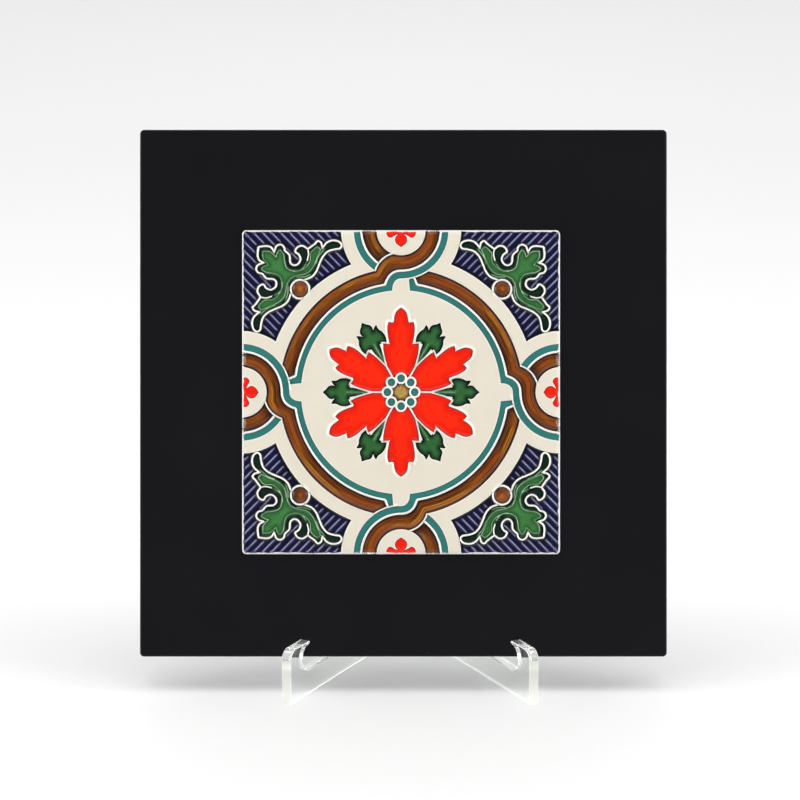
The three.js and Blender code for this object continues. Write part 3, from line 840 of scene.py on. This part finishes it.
def tile_mesh(settings):
    """The face of the tile with its relief, its round edge, its sides and its plain back."""
    width, height = settings.width / MM, settings.height / MM
    radius, rim, drop = settings.corner / MM, settings.rim_width / MM, settings.rim_drop / MM
    places, faces = tile_net(width, height, radius, rim)
    stretch = np.array((width, height)) / (2 * MOULD_HALF)
    found = Survey(places / stretch)
    depth = edge_distance(places, width, height, radius)
    fade = ease((depth - rim) / RIM_FADE)
    z = relief_height(found) * fade - drop * (1 - swell(depth.clip(0, None), rim))
    middles = places[faces].mean(1)
    at_middle = Survey(middles / stretch)

    mesh = bpy.data.meshes.new("relief_tile")
    mesh.from_pydata(np.column_stack((places, z)).tolist(), [], faces.tolist())
    mesh.polygons.foreach_set("material_index", at_middle.glaze.astype(np.int32))
    for name, values in (
        (INSET, found.inset), (CREST, found.crest), (ACROSS, found.across), (RIM_DISTANCE, depth),
    ):
        mesh.attributes.new(name, "FLOAT", "POINT").data.foreach_set("value", values.astype(np.float32))
    shape = bmesh.new()
    shape.from_mesh(mesh)
    border = [e for e in shape.edges if e.is_boundary]
    thickness = settings.thickness / MM
    for level, shrink in ((drop - thickness, 0.0), (-thickness, rim)):
        made = bmesh.ops.extrude_edge_only(shape, edges=border)["geom"]
        for part in made:
            if isinstance(part, bmesh.types.BMVert):
                part.co.x *= 1 - 2 * shrink / width
                part.co.y *= 1 - 2 * shrink / height
                part.co.z = level
            elif isinstance(part, bmesh.types.BMFace):
                part.material_index = BISCUIT
        border = [part for part in made if isinstance(part, bmesh.types.BMEdge) and part.is_boundary]
    for face in bmesh.ops.contextual_create(shape, geom=border)["faces"]:
        face.material_index = BISCUIT
    return finished(shape, mesh)


# Meshes of the board and the plates

POCKET_CLEARANCE = 0.3
POCKET_LIP = 0.25


def quarter_round(steps):
    """How far in and how far up a rounded edge goes at each step, as shares of its radius."""
    for k in range(steps + 1):
        angle = math.pi / 2 * k / steps
        yield 1 - math.sin(angle), 1 - math.cos(angle)


def board_mesh(settings, tile):
    """A slab with soft edges and a pocket for the tile, with its face at z = 0."""
    side, depth, soft, gap = (
        part / MM for part in (settings.side, settings.depth, settings.softening, settings.pocket_gap))
    right, up = tile.shift_right / MM, tile.shift_up / MM
    slab = (side, side, settings.corner / MM)
    pocket = (tile.width / MM + 2 * gap, tile.height / MM + 2 * gap, tile.corner / MM + gap)
    floor = tile.proud / MM - tile.thickness / MM - POCKET_CLEARANCE
    rings = [(*slab, soft * a, soft * b - depth, 0, 0) for a, b in quarter_round(5)]
    rings += [(*slab, soft * b, -soft * a, 0, 0) for a, b in quarter_round(5)]
    rings += [(*pocket, -POCKET_LIP * a, -POCKET_LIP * b, right, up) for a, b in quarter_round(3)]
    rings.append((*pocket, 0.0, floor, right, up))
    shape = bmesh.new()
    loops = []
    for wide, high, corner, inset, z, dx, dy in rings:
        loop = rounded_rectangle(wide, high, corner, inset)
        loops.append([shape.verts.new((x + dx, y + dy, z)) for x, y in loop])
    for low, high in zip(loops, loops[1:]):
        for k in range(len(low)):
            following = (k + 1) % len(low)
            shape.faces.new((low[k], low[following], high[following], high[k]))
    shape.faces.new(loops[0][::-1])
    shape.faces.new(loops[-1])
    return finished(shape, bpy.data.meshes.new("lacquered_board"))


# The plates' outline, in millimetres: x along the plate from its front, y up from the ground
STAND_HALF_WIDTH = 58.1
PLATE_REAR_LENGTH = 24.0
PLATE_REAR_HEIGHT = 14.0
HOOK_CORNER_RADIUS = 5.0
HOOK_REACH = 17.5
HOOK_TIP_THICKNESS = 1.4
HOLLOW_RADIUS = 6.3
HOLLOW_FLOOR = 12.3
ARM_TOP_HEIGHT = 130.0
ARM_TOP_WIDTH = 14.0
ARM_TOP_RADIUS = 5.0
BOARD_SETBACK = 17.8
SLOT_CLEARANCE = 0.3
RESTING_GAP = 0.3
ARRIS_WIDTH = 0.4
# Painted light: emission on the edges the plates rest on, standing in for light that runs through the plates
# and comes out there
PAINTED_EDGE_GLOW = 0.35


def arm_front(height, stand, board):
    """How far along the plate its arm meets the leaning board at one height."""
    board_back = (BOARD_SETBACK + board.depth / MM * math.cos(LEAN)
                  + (height - HOLLOW_FLOOR - RESTING_GAP) * math.tan(LEAN))
    clear = RESTING_GAP / math.cos(LEAN) + stand.thickness / MM / 2 * math.sin(stand.turn)
    return (board_back + clear) / math.cos(stand.turn)


def plate_outline(stand, board, slot_from_top):
    """The outline of a plate with its half-lap slot."""
    hook_height = HOLLOW_FLOOR + 2 * HOLLOW_RADIUS + HOOK_TIP_THICKNESS
    tip = HOOK_TIP_THICKNESS / 2
    crossing = STAND_HALF_WIDTH / math.sin(stand.turn)
    length = crossing + PLATE_REAR_LENGTH
    arm_top = arm_front(ARM_TOP_HEIGHT, stand, board)
    arm_back = arm_top + ARM_TOP_WIDTH
    shoulder = ARM_TOP_HEIGHT - ARM_TOP_RADIUS
    back_slope = (length - arm_back) / (ARM_TOP_HEIGHT - PLATE_REAR_HEIGHT)
    crossing_height = PLATE_REAR_HEIGHT + (length - crossing) / back_slope
    thickness = stand.thickness / MM
    crossed = 2 * stand.turn
    slot = (thickness / math.sin(crossed) + thickness / math.tan(crossed)) / 2 + SLOT_CLEARANCE
    slot_depth = (crossing_height + RESTING_GAP) / 2

    def corner(start, handle, end):
        share = np.linspace(0, 1, 9)[:, None]
        start, handle, end = (np.array(p, float) for p in (start, handle, end))
        return (1 - share) ** 2 * start + 2 * share * (1 - share) * handle + share ** 2 * end

    def on_slope(x):
        return (x, PLATE_REAR_HEIGHT + (length - x) / back_slope)

    parts = [
        [(0, 0)],
        arc((HOOK_CORNER_RADIUS, hook_height - HOOK_CORNER_RADIUS), HOOK_CORNER_RADIUS, 180, 90, 0.5),
        arc((HOOK_REACH, hook_height - tip), tip, 90, -90, 0.15),
        arc((HOOK_REACH, HOLLOW_FLOOR + HOLLOW_RADIUS), HOLLOW_RADIUS, 90, 270, 0.8),
        [(arm_front(HOLLOW_FLOOR, stand, board), HOLLOW_FLOOR)],
        corner((arm_front(shoulder, stand, board), shoulder), (arm_top, ARM_TOP_HEIGHT),
               (arm_top + ARM_TOP_RADIUS, ARM_TOP_HEIGHT)),
        corner((arm_back - ARM_TOP_RADIUS, ARM_TOP_HEIGHT), (arm_back, ARM_TOP_HEIGHT),
               (arm_back + ARM_TOP_RADIUS * back_slope, shoulder)),
    ]
    if slot_from_top:
        bottom = crossing_height - slot_depth
        parts.append([on_slope(crossing - slot), (crossing - slot, bottom), (crossing + slot, bottom),
                      on_slope(crossing + slot)])
    parts.append([(length, PLATE_REAR_HEIGHT), (length, 0)])
    if not slot_from_top:
        parts.append([(crossing + slot, 0), (crossing + slot, slot_depth), (crossing - slot, slot_depth),
                      (crossing - slot, 0)])
    path = [tuple(p) for part in parts for p in part]
    return [p for p, before in zip(path, path[-1:] + path[:-1]) if math.dist(p, before) > 0.02]


def plate_mesh(stand, board, slot_from_top):
    """A clear plate with polished edges, standing on y = 0, its thickness along z."""
    outline = plate_outline(stand, board, slot_from_top)
    half = stand.thickness / MM / 2
    shape = bmesh.new()
    front = [shape.verts.new((x, y, half)) for x, y in outline]
    back = [shape.verts.new((x, y, -half)) for x, y in outline]
    shape.faces.new(front)
    shape.faces.new(back[::-1])
    for k in range(len(outline)):
        following = (k + 1) % len(outline)
        side = shape.faces.new((front[k], back[k], back[following], front[following]))
        far = np.maximum(outline[k], outline[following])
        side.material_index = GROUND if far[1] < 0.01 else SAWN if far[0] < 0.01 else EDGE
    bmesh.ops.recalc_face_normals(shape, faces=shape.faces)
    rim_edges = [e for e in shape.edges if len({v.co.z for v in e.verts}) == 1]
    bmesh.ops.bevel(
        shape, geom=rim_edges, offset=ARRIS_WIDTH, segments=2, affect="EDGES", profile=0.5, material=ARRIS)
    mesh = bpy.data.meshes.new("clear_plate")
    shape.to_mesh(mesh)
    shape.free()
    return mesh


# Faces larger than this, in square metres, are the flat ones of the board and the plates
FLAT_AREA = 60e-6
# A face whose direction has a part above this looks straight along an axis of its piece
STRAIGHT = 0.99999


def placed(name, mesh, matrix, node, slot, smooth_angle=None):
    """A piece with its place in its mesh, riding on the one body and standing for its solid."""
    straight = [max(abs(part) for part in face.normal) > STRAIGHT for face in mesh.polygons]
    mesh.transform(matrix @ Matrix.Scale(MM, 4))
    piece = bpy.data.objects.new(name, mesh)
    bpy.context.scene.collection.objects.link(piece)
    if smooth_angle is not None:
        mesh.shade_smooth()
        mesh.set_sharp_from_angle(angle=math.radians(smooth_angle))
        for face, is_straight in zip(mesh.polygons, straight):
            face.use_smooth = face.area < FLAT_AREA and not (is_straight and slot != "tile")
    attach(piece, "root")
    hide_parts(node)
    return piece


def board_matrix(board):
    """From the board's face (x right, y up, z outwards) to the row's frame."""
    low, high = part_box("board")
    outward = Vector((0, -math.cos(LEAN), math.sin(LEAN)))
    up = Vector((0, math.sin(LEAN), math.cos(LEAN)))
    matrix = Matrix((Vector((1, 0, 0)), up, outward)).transposed().to_4x4()
    matrix.translation = (low + high) / 2 + outward * (board.depth / 2)
    return matrix


def plate_matrix(stand, node, side):
    """From a plate lying flat to its place in the stand, at the left (side -1) or right (side 1)."""
    low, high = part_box(node)
    reach = stand.thickness / 2
    x = high.x - reach * math.cos(stand.turn) if side > 0 else low.x + reach * math.cos(stand.turn)
    y = low.y + reach * math.sin(stand.turn)
    turn = Matrix.Rotation(math.pi / 2 + side * stand.turn, 4, "Z") @ Matrix.Rotation(math.pi / 2, 4, "X")
    return Matrix.Translation((x, y, 0)) @ turn


# Materials


def colour(values):
    return (*values, 1.0)


class Nodes:
    """A shader's nodes: each short call adds one and gives its output, and end takes the results."""

    def __init__(self, tree, end):
        self.tree = tree
        self.end = end

    def fill(self, node, inputs):
        """Puts a value or another node's output into each input."""
        for name, value in inputs.items():
            if isinstance(value, bpy.types.NodeSocket):
                self.tree.links.new(value, node.inputs[name])
            else:
                node.inputs[name].default_value = value

    def give(self, inputs):
        self.fill(self.end, inputs)

    def add(self, kind, inputs=None, **settings):
        node = self.tree.nodes.new("ShaderNode" + kind)
        for name, value in settings.items():
            setattr(node, name, value)
        self.fill(node, inputs or {})
        return node.outputs

    def math(self, operation, *values):
        return self.add("Math", dict(enumerate(values)), operation=operation)[0]

    def attribute(self, name):
        return self.add("Attribute", attribute_name=name)["Fac"]

    def place(self):
        return self.add("TexCoord")["Object"]

    def noise(self, scale, detail=2.0, roughness=0.5, place=None):
        place = place or self.place()
        return self.add("TexNoise", {
            "Vector": place, "Scale": scale, "Detail": detail, "Roughness": roughness})["Fac"]

    def ramp(self, value, start, end, low=0.0, high=1.0, kind="SMOOTHSTEP"):
        """A value taken from low to high between start and end."""
        return self.add("MapRange", {
            "Value": value, "From Min": start, "From Max": end, "To Min": low, "To Max": high},
            interpolation_type=kind)["Result"]

    def mix(self, share, first, second):
        return self.add("Mix", {0: share, 6: first, 7: second}, data_type="RGBA")[2]

    def tone(self, value, tint):
        return self.add("HueSaturation", {"Value": value, "Color": tint})["Color"]

    def bump(self, height, strength, distance):
        return self.add("Bump", {"Height": height, "Strength": strength, "Distance": distance})["Normal"]


def new_group(name, inputs, outputs):
    """A node group with named sockets, its nodes, and what it is given."""
    group = bpy.data.node_groups.new(name, "ShaderNodeTree")
    for label, default in inputs.items():
        kind = "NodeSocketFloat" if isinstance(default, float) else "NodeSocketColor"
        group.interface.new_socket(label, in_out="INPUT", socket_type=kind).default_value = default
    for label, kind in outputs.items():
        group.interface.new_socket(label, in_out="OUTPUT", socket_type=kind)
    given = group.nodes.new("NodeGroupInput").outputs
    return group, Nodes(group, group.nodes.new("NodeGroupOutput")), given


def pooled_glaze_group():
    """Colour of a glaze: dark where it pools, pale where it runs thin, white on the tile's worn rim."""
    group, nodes, given = new_group("Pooled Glaze", {
        "Pooled": (0, 0, 0, 1), "Body": (0.5, 0.5, 0.5, 1), "Thin": (1, 1, 1, 1),
        "Rim": (0.8, 0.79, 0.76, 1), "Pool Width": 0.8, "Thin From": 50.0, "Thin To": 60.0,
        "Crest Strength": 0.0, "Rim Width": 0.62, "Drift": 0.15, "Drift Scale": 90.0,
    }, {"Color": "NodeSocketColor", "Drift": "NodeSocketFloat"})
    centred = nodes.math("SUBTRACT", nodes.noise(given["Drift Scale"], 4.0, 0.55), 0.5)
    moved = nodes.math("MULTIPLY", centred, given["Drift"])
    wander = nodes.math("MULTIPLY_ADD", moved, 2.0, nodes.attribute(INSET))
    thin = nodes.ramp(wander, given["Thin From"], given["Thin To"])
    raised = nodes.math("MULTIPLY", nodes.attribute(CREST), given["Crest Strength"])
    base = nodes.mix(nodes.ramp(wander, 0.0, given["Pool Width"]), given["Pooled"], given["Body"])
    full = nodes.mix(nodes.math("MAXIMUM", thin, raised), base, given["Thin"])
    shaded = nodes.tone(nodes.math("ADD", moved, 1.0), full)
    chipped = nodes.math("MULTIPLY_ADD", nodes.noise(330.0, 3.0, 0.6), -1.6, nodes.attribute(RIM_DISTANCE))
    sound = nodes.ramp(
        nodes.math("ADD", chipped, 0.8), given["Rim Width"], nodes.math("ADD", given["Rim Width"], 0.25))
    nodes.give({"Color": nodes.mix(sound, given["Rim"], shaded), "Drift": centred})
    return group


def glaze_skin_group():
    """Height of the small waves and pinholes of a fired glaze."""
    group, nodes, given = new_group("Glaze Skin", {
        "Wave Scale": 420.0, "Pit Scale": 700.0, "Pit Depth": 0.6}, {"Height": "NodeSocketFloat"})
    cells = nodes.add("TexVoronoi", {"Vector": nodes.place(), "Scale": given["Pit Scale"]})["Distance"]
    dug = nodes.math("MULTIPLY", nodes.ramp(cells, 0.03, 0.12, 1.0, 0.0, "LINEAR"), given["Pit Depth"])
    nodes.give({"Height": nodes.math("SUBTRACT", nodes.noise(given["Wave Scale"]), dug)})
    return group


def new_material(name):
    """A material with only its output and a Principled shader."""
    made = bpy.data.materials.new(name)
    made.use_nodes = True
    tree = made.node_tree
    return made, Nodes(tree, tree.nodes["Principled BSDF"])


def glaze_material(name, groups, tints, mixes, roughness=0.12, bump=0.1, painted=None):
    """A fired glaze over the relief. Its tints are where it pools, its body and where it is thin."""
    made, nodes = new_material(name)
    mixes = dict(zip(("Pooled", "Body", "Thin"), map(colour, tints))) | mixes
    pool = nodes.add("Group", mixes, node_tree=groups["pool"])
    skin = nodes.add("Group", node_tree=groups["skin"])
    tint = painted(nodes, pool["Color"]) if painted else pool["Color"]
    nodes.give({
        "Base Color": tint,
        "Roughness": nodes.ramp(pool["Drift"], -0.3, 0.3, roughness * 0.8, roughness * 1.3, "LINEAR"),
        "Normal": nodes.bump(skin["Height"], bump, 0.0002),
        "IOR": 1.52,
        "Specular IOR Level": 0.4,
    })
    return made


def strap_tint(nodes, glazed):
    """The straps' brown with gold along its middle, runs, dark grooves and dark covered ends."""
    across = nodes.attribute(ACROSS)
    patches = nodes.noise(38.0, 3.0)
    away = nodes.math("ABSOLUTE", nodes.math("SUBTRACT", across, 0.62))
    gold = nodes.math("MULTIPLY", nodes.ramp(away, 0.03, 0.3, 1.0, 0.0), nodes.ramp(patches, 0.42, 0.64))
    tint = nodes.mix(gold, glazed, (0.43, 0.15, 0.01, 1))
    run_place = nodes.add("CombineXYZ", {
        "X": nodes.math("MULTIPLY", across, 24.0), "Y": nodes.math("MULTIPLY", patches, 4.0)})["Vector"]
    runs = nodes.noise(1.0, 3.0, place=run_place)
    tint = nodes.tone(nodes.ramp(runs, 0.36, 0.64, 0.3, 1.35), tint)
    broken = nodes.ramp(patches, 0.35, 0.6, 0.5, 1.0)
    for middle, depth in STRAP_GROOVES:
        gap = nodes.math("ABSOLUTE", nodes.math("SUBTRACT", across, middle))
        line = nodes.ramp(gap, GROOVE_WIDTH * 0.5, GROOVE_WIDTH * 1.1, min(0.95, depth * 6), 0.0)
        tint = nodes.mix(nodes.math("MULTIPLY", line, broken), tint, (0.02, 0.005, 0.002, 1))
    ends = nodes.math("MULTIPLY", nodes.attribute(CREST), 0.85)
    return nodes.mix(ends, tint, (0.03, 0.006, 0.004, 1))


def leaf_tint(nodes, glazed):
    """The green with pale broken lines on its thin crests."""
    line = nodes.ramp(nodes.attribute(CREST), 0.75, 0.98)
    broken = nodes.ramp(nodes.noise(170.0), 0.4, 0.6, 0.1, 0.85)
    return nodes.mix(nodes.math("MULTIPLY", line, broken), glazed, (0.5, 0.66, 0.47, 1))


def glaze_materials():
    """The glazes in the order of their places in the tile's list."""
    groups = {"pool": pooled_glaze_group(), "skin": glaze_skin_group()}
    cream, white, teal = (0.80, 0.74, 0.62), (0.93, 0.92, 0.86), (0.03, 0.2, 0.185)
    brown, clay, soot = (0.24, 0.054, 0.005), (0.6, 0.52, 0.42), (0.02, 0.005, 0.002)
    return [
        glaze_material(
            "navy_glaze", groups, ((0.0012, 0.0012, 0.004), (0.004, 0.004, 0.034), (0.3, 0.31, 0.54)),
            {"Pool Width": 2.0, "Crest Strength": 0.95, "Drift": 0.8}),
        glaze_material(
            "ivory_glaze", groups, ((0.88, 0.85, 0.76), cream, cream),
            {"Pool Width": 0.9, "Drift": 0.05}, roughness=0.2),
        glaze_material(
            "line_glaze", groups, ((0.80, 0.78, 0.70), white, white), {"Pool Width": 0.25, "Drift": 0.03}),
        glaze_material(
            "teal_glaze", groups, ((0.006, 0.085, 0.085), teal, teal), {"Pool Width": 0.6, "Drift": 0.2}),
        glaze_material(
            "brown_glaze", groups, ((0.008, 0.002, 0.001), brown, brown),
            {"Pool Width": 1.5, "Drift": 0.6, "Drift Scale": 110.0}, painted=strap_tint),
        glaze_material(
            "red_glaze", groups, ((0.42, 0.008, 0.004), (0.88, 0.012, 0.001), (0.98, 0.022, 0.002)),
            {"Pool Width": 0.8, "Thin From": 1.5, "Thin To": 4.5, "Drift": 0.12}),
        glaze_material(
            "green_glaze", groups, ((0.001, 0.002, 0.002), (0.004, 0.019, 0.011), (0.048, 0.2, 0.052)),
            {"Pool Width": 1.1, "Crest Strength": 1.5, "Drift": 0.8, "Drift Scale": 240.0},
            painted=leaf_tint),
        glaze_material(
            "ochre_glaze", groups, (soot, (0.2, 0.08, 0.014), (0.45, 0.29, 0.065)),
            {"Pool Width": 1.0, "Thin From": 0.9, "Thin To": 2.0, "Drift": 0.9, "Drift Scale": 900.0}),
        glaze_material(
            "boss_glaze", groups, (soot, (0.17, 0.038, 0.005), (0.36, 0.12, 0.015)),
            {"Pool Width": 1.3, "Thin From": 1.6, "Thin To": 4.2, "Drift": 2.2, "Drift Scale": 130.0}),
        glaze_material(
            "biscuit", groups, ((0.55, 0.47, 0.38), clay, clay), {"Drift": 0.2, "Rim Width": -5.0},
            roughness=0.8, bump=0.4),
    ]


def lacquer_material(base):
    """Near-black satin lacquer with a faint orange peel and a little dust."""
    made, nodes = new_material("black_lacquer")
    specks = nodes.add("TexVoronoi", {"Vector": nodes.place(), "Scale": 85.0})
    near = nodes.ramp(specks["Distance"], 0.008, 0.02, 1.0, 0.0, "LINEAR")
    chosen = nodes.math("GREATER_THAN", nodes.add("SeparateColor", {"Color": specks["Color"]})["Red"], 0.9)
    dust = nodes.math("MULTIPLY", near, chosen)
    nodes.give({
        "Base Color": nodes.mix(dust, colour(base), (0.2, 0.2, 0.2, 1)),
        "Roughness": nodes.ramp(nodes.noise(22.0, 5.0), 0.3, 0.7, 0.34, 0.42, "LINEAR"),
        "Normal": nodes.bump(nodes.noise(900.0, 1.0), 0.06, 0.0001),
        "Specular IOR Level": 0.2,
    })
    return made


def acrylic_material(name, tint, roughness, clearness, scratch=0.0, painted_glow=0.0):
    """Clear plate. Its edges have faint marks, and those it rests on get painted light, an emission that
    stands in for light carried through the plate.
    """
    made, nodes = new_material(name)
    nodes.give({
        "Base Color": colour(tint), "Transmission Weight": clearness, "IOR": 1.49, "Roughness": roughness})
    # Painted light: emission standing in for light carried through the plate to this edge
    if painted_glow:
        nodes.give({"Emission Color": colour(tint), "Emission Strength": painted_glow})
    if scratch:
        nodes.give({"Normal": nodes.bump(nodes.noise(60.0, 3.0), scratch, 0.0002)})
    shadow = nodes.add("LightPath")["Is Shadow Ray"]
    through = nodes.add("BsdfTransparent", {"Color": (0.9, 0.9, 0.9, 1)})[0]
    mixed = nodes.add("MixShader", {0: shadow, 1: nodes.end.outputs[0], 2: through})[0]
    nodes.fill(nodes.tree.nodes["Material Output"], {"Surface": mixed})
    return made


def acrylic_materials(tint, sawn_tint):
    """The plates' materials, in the order of FACE, EDGE, SAWN, GROUND and ARRIS."""
    return [
        acrylic_material("clear_plate_face", tint, roughness=0.0, clearness=1.0),
        acrylic_material("clear_plate_edge", tint, roughness=0.05, clearness=0.94, scratch=0.05),
        acrylic_material("sawn_plate_edge", sawn_tint, roughness=0.35, clearness=0.45, scratch=0.2),
        acrylic_material(
            "resting_plate_edge", tint, roughness=0.5, clearness=0.0, scratch=0.2, painted_glow=PAINTED_EDGE_GLOW),
        acrylic_material("scraped_plate_arris", tint, roughness=0.3, clearness=0.35, scratch=0.1),
    ]


def floor_material(base):
    """Plain floor whose tone drifts a little."""
    made, nodes = new_material("pale_floor")
    darker = [part * 0.985 for part in base]
    nodes.give({
        "Base Color": nodes.mix(nodes.noise(3.0, 3.0), colour(base), colour(darker)),
        "Roughness": 0.9,
        "Specular IOR Level": 0.0,
    })
    return made


# Operators


class FRAMEDTILE_OT_board(bpy.types.Operator):
    """Adds the black board with its pocket."""

    bl_idname = "framed_tile.board"
    bl_label = "Board"

    def execute(self, context):
        board, tile = context.scene.board_settings, context.scene.tile_settings
        piece = placed("lacquered_board", board_mesh(board, tile), board_matrix(board), "board", "board", 40)
        piece.data.materials.append(lacquer_material(board.colour))
        return {"FINISHED"}


class FRAMEDTILE_OT_tile(bpy.types.Operator):
    """Adds the glazed tile with its relief."""

    bl_idname = "framed_tile.tile"
    bl_label = "Relief tile"

    def execute(self, context):
        board, tile = context.scene.board_settings, context.scene.tile_settings
        shift = Matrix.Translation((tile.shift_right, tile.shift_up, tile.proud))
        mesh = tile_mesh(tile)
        for made in glaze_materials():
            mesh.materials.append(made)
        placed("relief_tile", mesh, board_matrix(board) @ shift, "tile", "tile", 75)
        return {"FINISHED"}


class FRAMEDTILE_OT_stand(bpy.types.Operator):
    """Adds the two crossed clear plates."""

    bl_idname = "framed_tile.stand"
    bl_label = "Clear stand"

    def execute(self, context):
        board, stand = context.scene.board_settings, context.scene.stand_settings
        materials = acrylic_materials(stand.tint, stand.sawn_tint)
        for node, side in (("stand_left_plate", -1), ("stand_right_plate", 1)):
            mesh = plate_mesh(stand, board, slot_from_top=side < 0)
            for made in materials:
                mesh.materials.append(made)
            name = node.replace("stand_", "clear_")
            placed(name, mesh, plate_matrix(stand, node, side), node, "stand", 20)
        return {"FINISHED"}


def area_light(name, place, target, size, power):
    """A rectangular light at a place, aimed at another."""
    data = bpy.data.lights.new(name, "AREA")
    data.shape = "RECTANGLE"
    data.size, data.size_y = size
    data.energy = power
    light = bpy.data.objects.new(name, data)
    light.location = place
    light.rotation_euler = (Vector(target) - Vector(place)).to_track_quat("-Z", "Y").to_euler()
    bpy.context.scene.collection.objects.link(light)


def studio_world(strength):
    """Light of pale walls under a dark ceiling, with a dark end that the board's face looks at."""
    world = bpy.data.worlds.new("wall_light")
    world.use_nodes = True
    nodes = Nodes(world.node_tree, world.node_tree.nodes["Background"])
    direction = nodes.add("TexCoord")["Generated"]
    parts = nodes.add("SeparateXYZ", {"Vector": direction})
    facing = nodes.add("VectorMath", {
        0: direction, 1: (0, -math.cos(LEAN), math.sin(LEAN))}, operation="DOT_PRODUCT")["Value"]
    open_end = nodes.ramp(facing, 0.4, 0.75, 1.0, 0.03)
    under_ceiling = nodes.ramp(parts["Z"], 0.4, 0.6, 1.0, 0.1)
    wall = nodes.ramp(parts["Y"], -0.15, 0.15, strength * 2.0, strength)
    level = nodes.math("MULTIPLY", nodes.math("MULTIPLY", open_end, under_ceiling), wall)
    nodes.give({"Strength": level, "Color": (1, 1, 1, 1)})
    return world


CAMERA_PLACE = (-0.00161, -1.4655, 0.5231)
CAMERA_LENS = 142.3
CAMERA_SENSOR = 36.0


class FRAMEDTILE_OT_stage(bpy.types.Operator):
    """Adds the floor, the soft light and the camera."""

    bl_idname = "framed_tile.stage"
    bl_label = "Stage"

    def execute(self, context):
        stage = context.scene.stage_settings
        shape = bmesh.new()
        bmesh.ops.create_grid(shape, x_segments=8, y_segments=8, size=9)
        mesh = bpy.data.meshes.new("pale_floor")
        shape.to_mesh(mesh)
        shape.free()
        floor = bpy.data.objects.new("pale_floor", mesh)
        context.scene.collection.objects.link(floor)
        mesh.materials.append(floor_material(stage.floor_colour))

        for name, y, power in (
                ("front_light", -0.9, stage.front_power), ("top_light", 0.0, stage.top_power),
                ("back_light", 2.0, stage.back_power)):
            area_light(name, (0, y, 1.3), (0, y, 0), (1.5, 0.9), power)
        for name, side in (("left", -1), ("right", 1)):
            area_light(name + "_light", (side * 1.4, 0, 1.1), (0, 0, 0), (0.6, 0.8), stage.side_power)
            area_light(name + "_fill", (side * 0.9, -0.9, 0.85), (0, 0, 0.12), (0.8, 0.8), stage.fill_power)
        context.scene.view_settings.view_transform = "Standard"
        context.scene.world = studio_world(stage.walls)

        data = bpy.data.cameras.new("camera")
        data.lens, data.sensor_width = CAMERA_LENS, CAMERA_SENSOR
        data.clip_start, data.clip_end = 0.05, 60
        camera = bpy.data.objects.new("camera", data)
        camera.location = CAMERA_PLACE
        camera.rotation_euler = (math.pi / 2 - LEAN, 0, 0)
        context.scene.collection.objects.link(camera)
        context.scene.camera = camera
        return {"FINISHED"}


class FRAMEDTILE_PT_panel(bpy.types.Panel):
    """Lists what the tile in its board is made of."""

    bl_label = "Framed Tile"
    bl_space_type = "VIEW_3D"
    bl_region_type = "UI"
    bl_category = "Framed Tile"

    def draw(self, context):
        scene = context.scene
        for settings, operator in (
            (scene.board_settings, FRAMEDTILE_OT_board),
            (scene.tile_settings, FRAMEDTILE_OT_tile),
            (scene.stand_settings, FRAMEDTILE_OT_stand),
            (scene.stage_settings, FRAMEDTILE_OT_stage),
        ):
            box = self.layout.box()
            for name in settings.bl_rna.properties.keys():
                if name not in ("rna_type", "name"):
                    box.prop(settings, name)
            box.operator(operator.bl_idname)


SETTINGS = {
    "tile_settings": TileSettings,
    "board_settings": BoardSettings,
    "stand_settings": StandSettings,
    "stage_settings": StageSettings,
}
OPERATORS = (FRAMEDTILE_OT_stage, FRAMEDTILE_OT_board, FRAMEDTILE_OT_tile, FRAMEDTILE_OT_stand)


def register():
    for group in SETTINGS.values():
        bpy.utils.register_class(group)
    for name, group in SETTINGS.items():
        setattr(bpy.types.Scene, name, PointerProperty(type=group))
    for made in (*OPERATORS, FRAMEDTILE_PT_panel):
        bpy.utils.register_class(made)


def unregister():
    for made in (FRAMEDTILE_PT_panel, *reversed(OPERATORS)):
        bpy.utils.unregister_class(made)
    for name in SETTINGS:
        delattr(bpy.types.Scene, name)
    for group in SETTINGS.values():
        bpy.utils.unregister_class(group)


def main():
    register()
    bpy.ops.framed_tile.stage()
    bpy.ops.framed_tile.board()
    bpy.ops.framed_tile.tile()
    bpy.ops.framed_tile.stand()


if __name__ == "__main__":
    main()
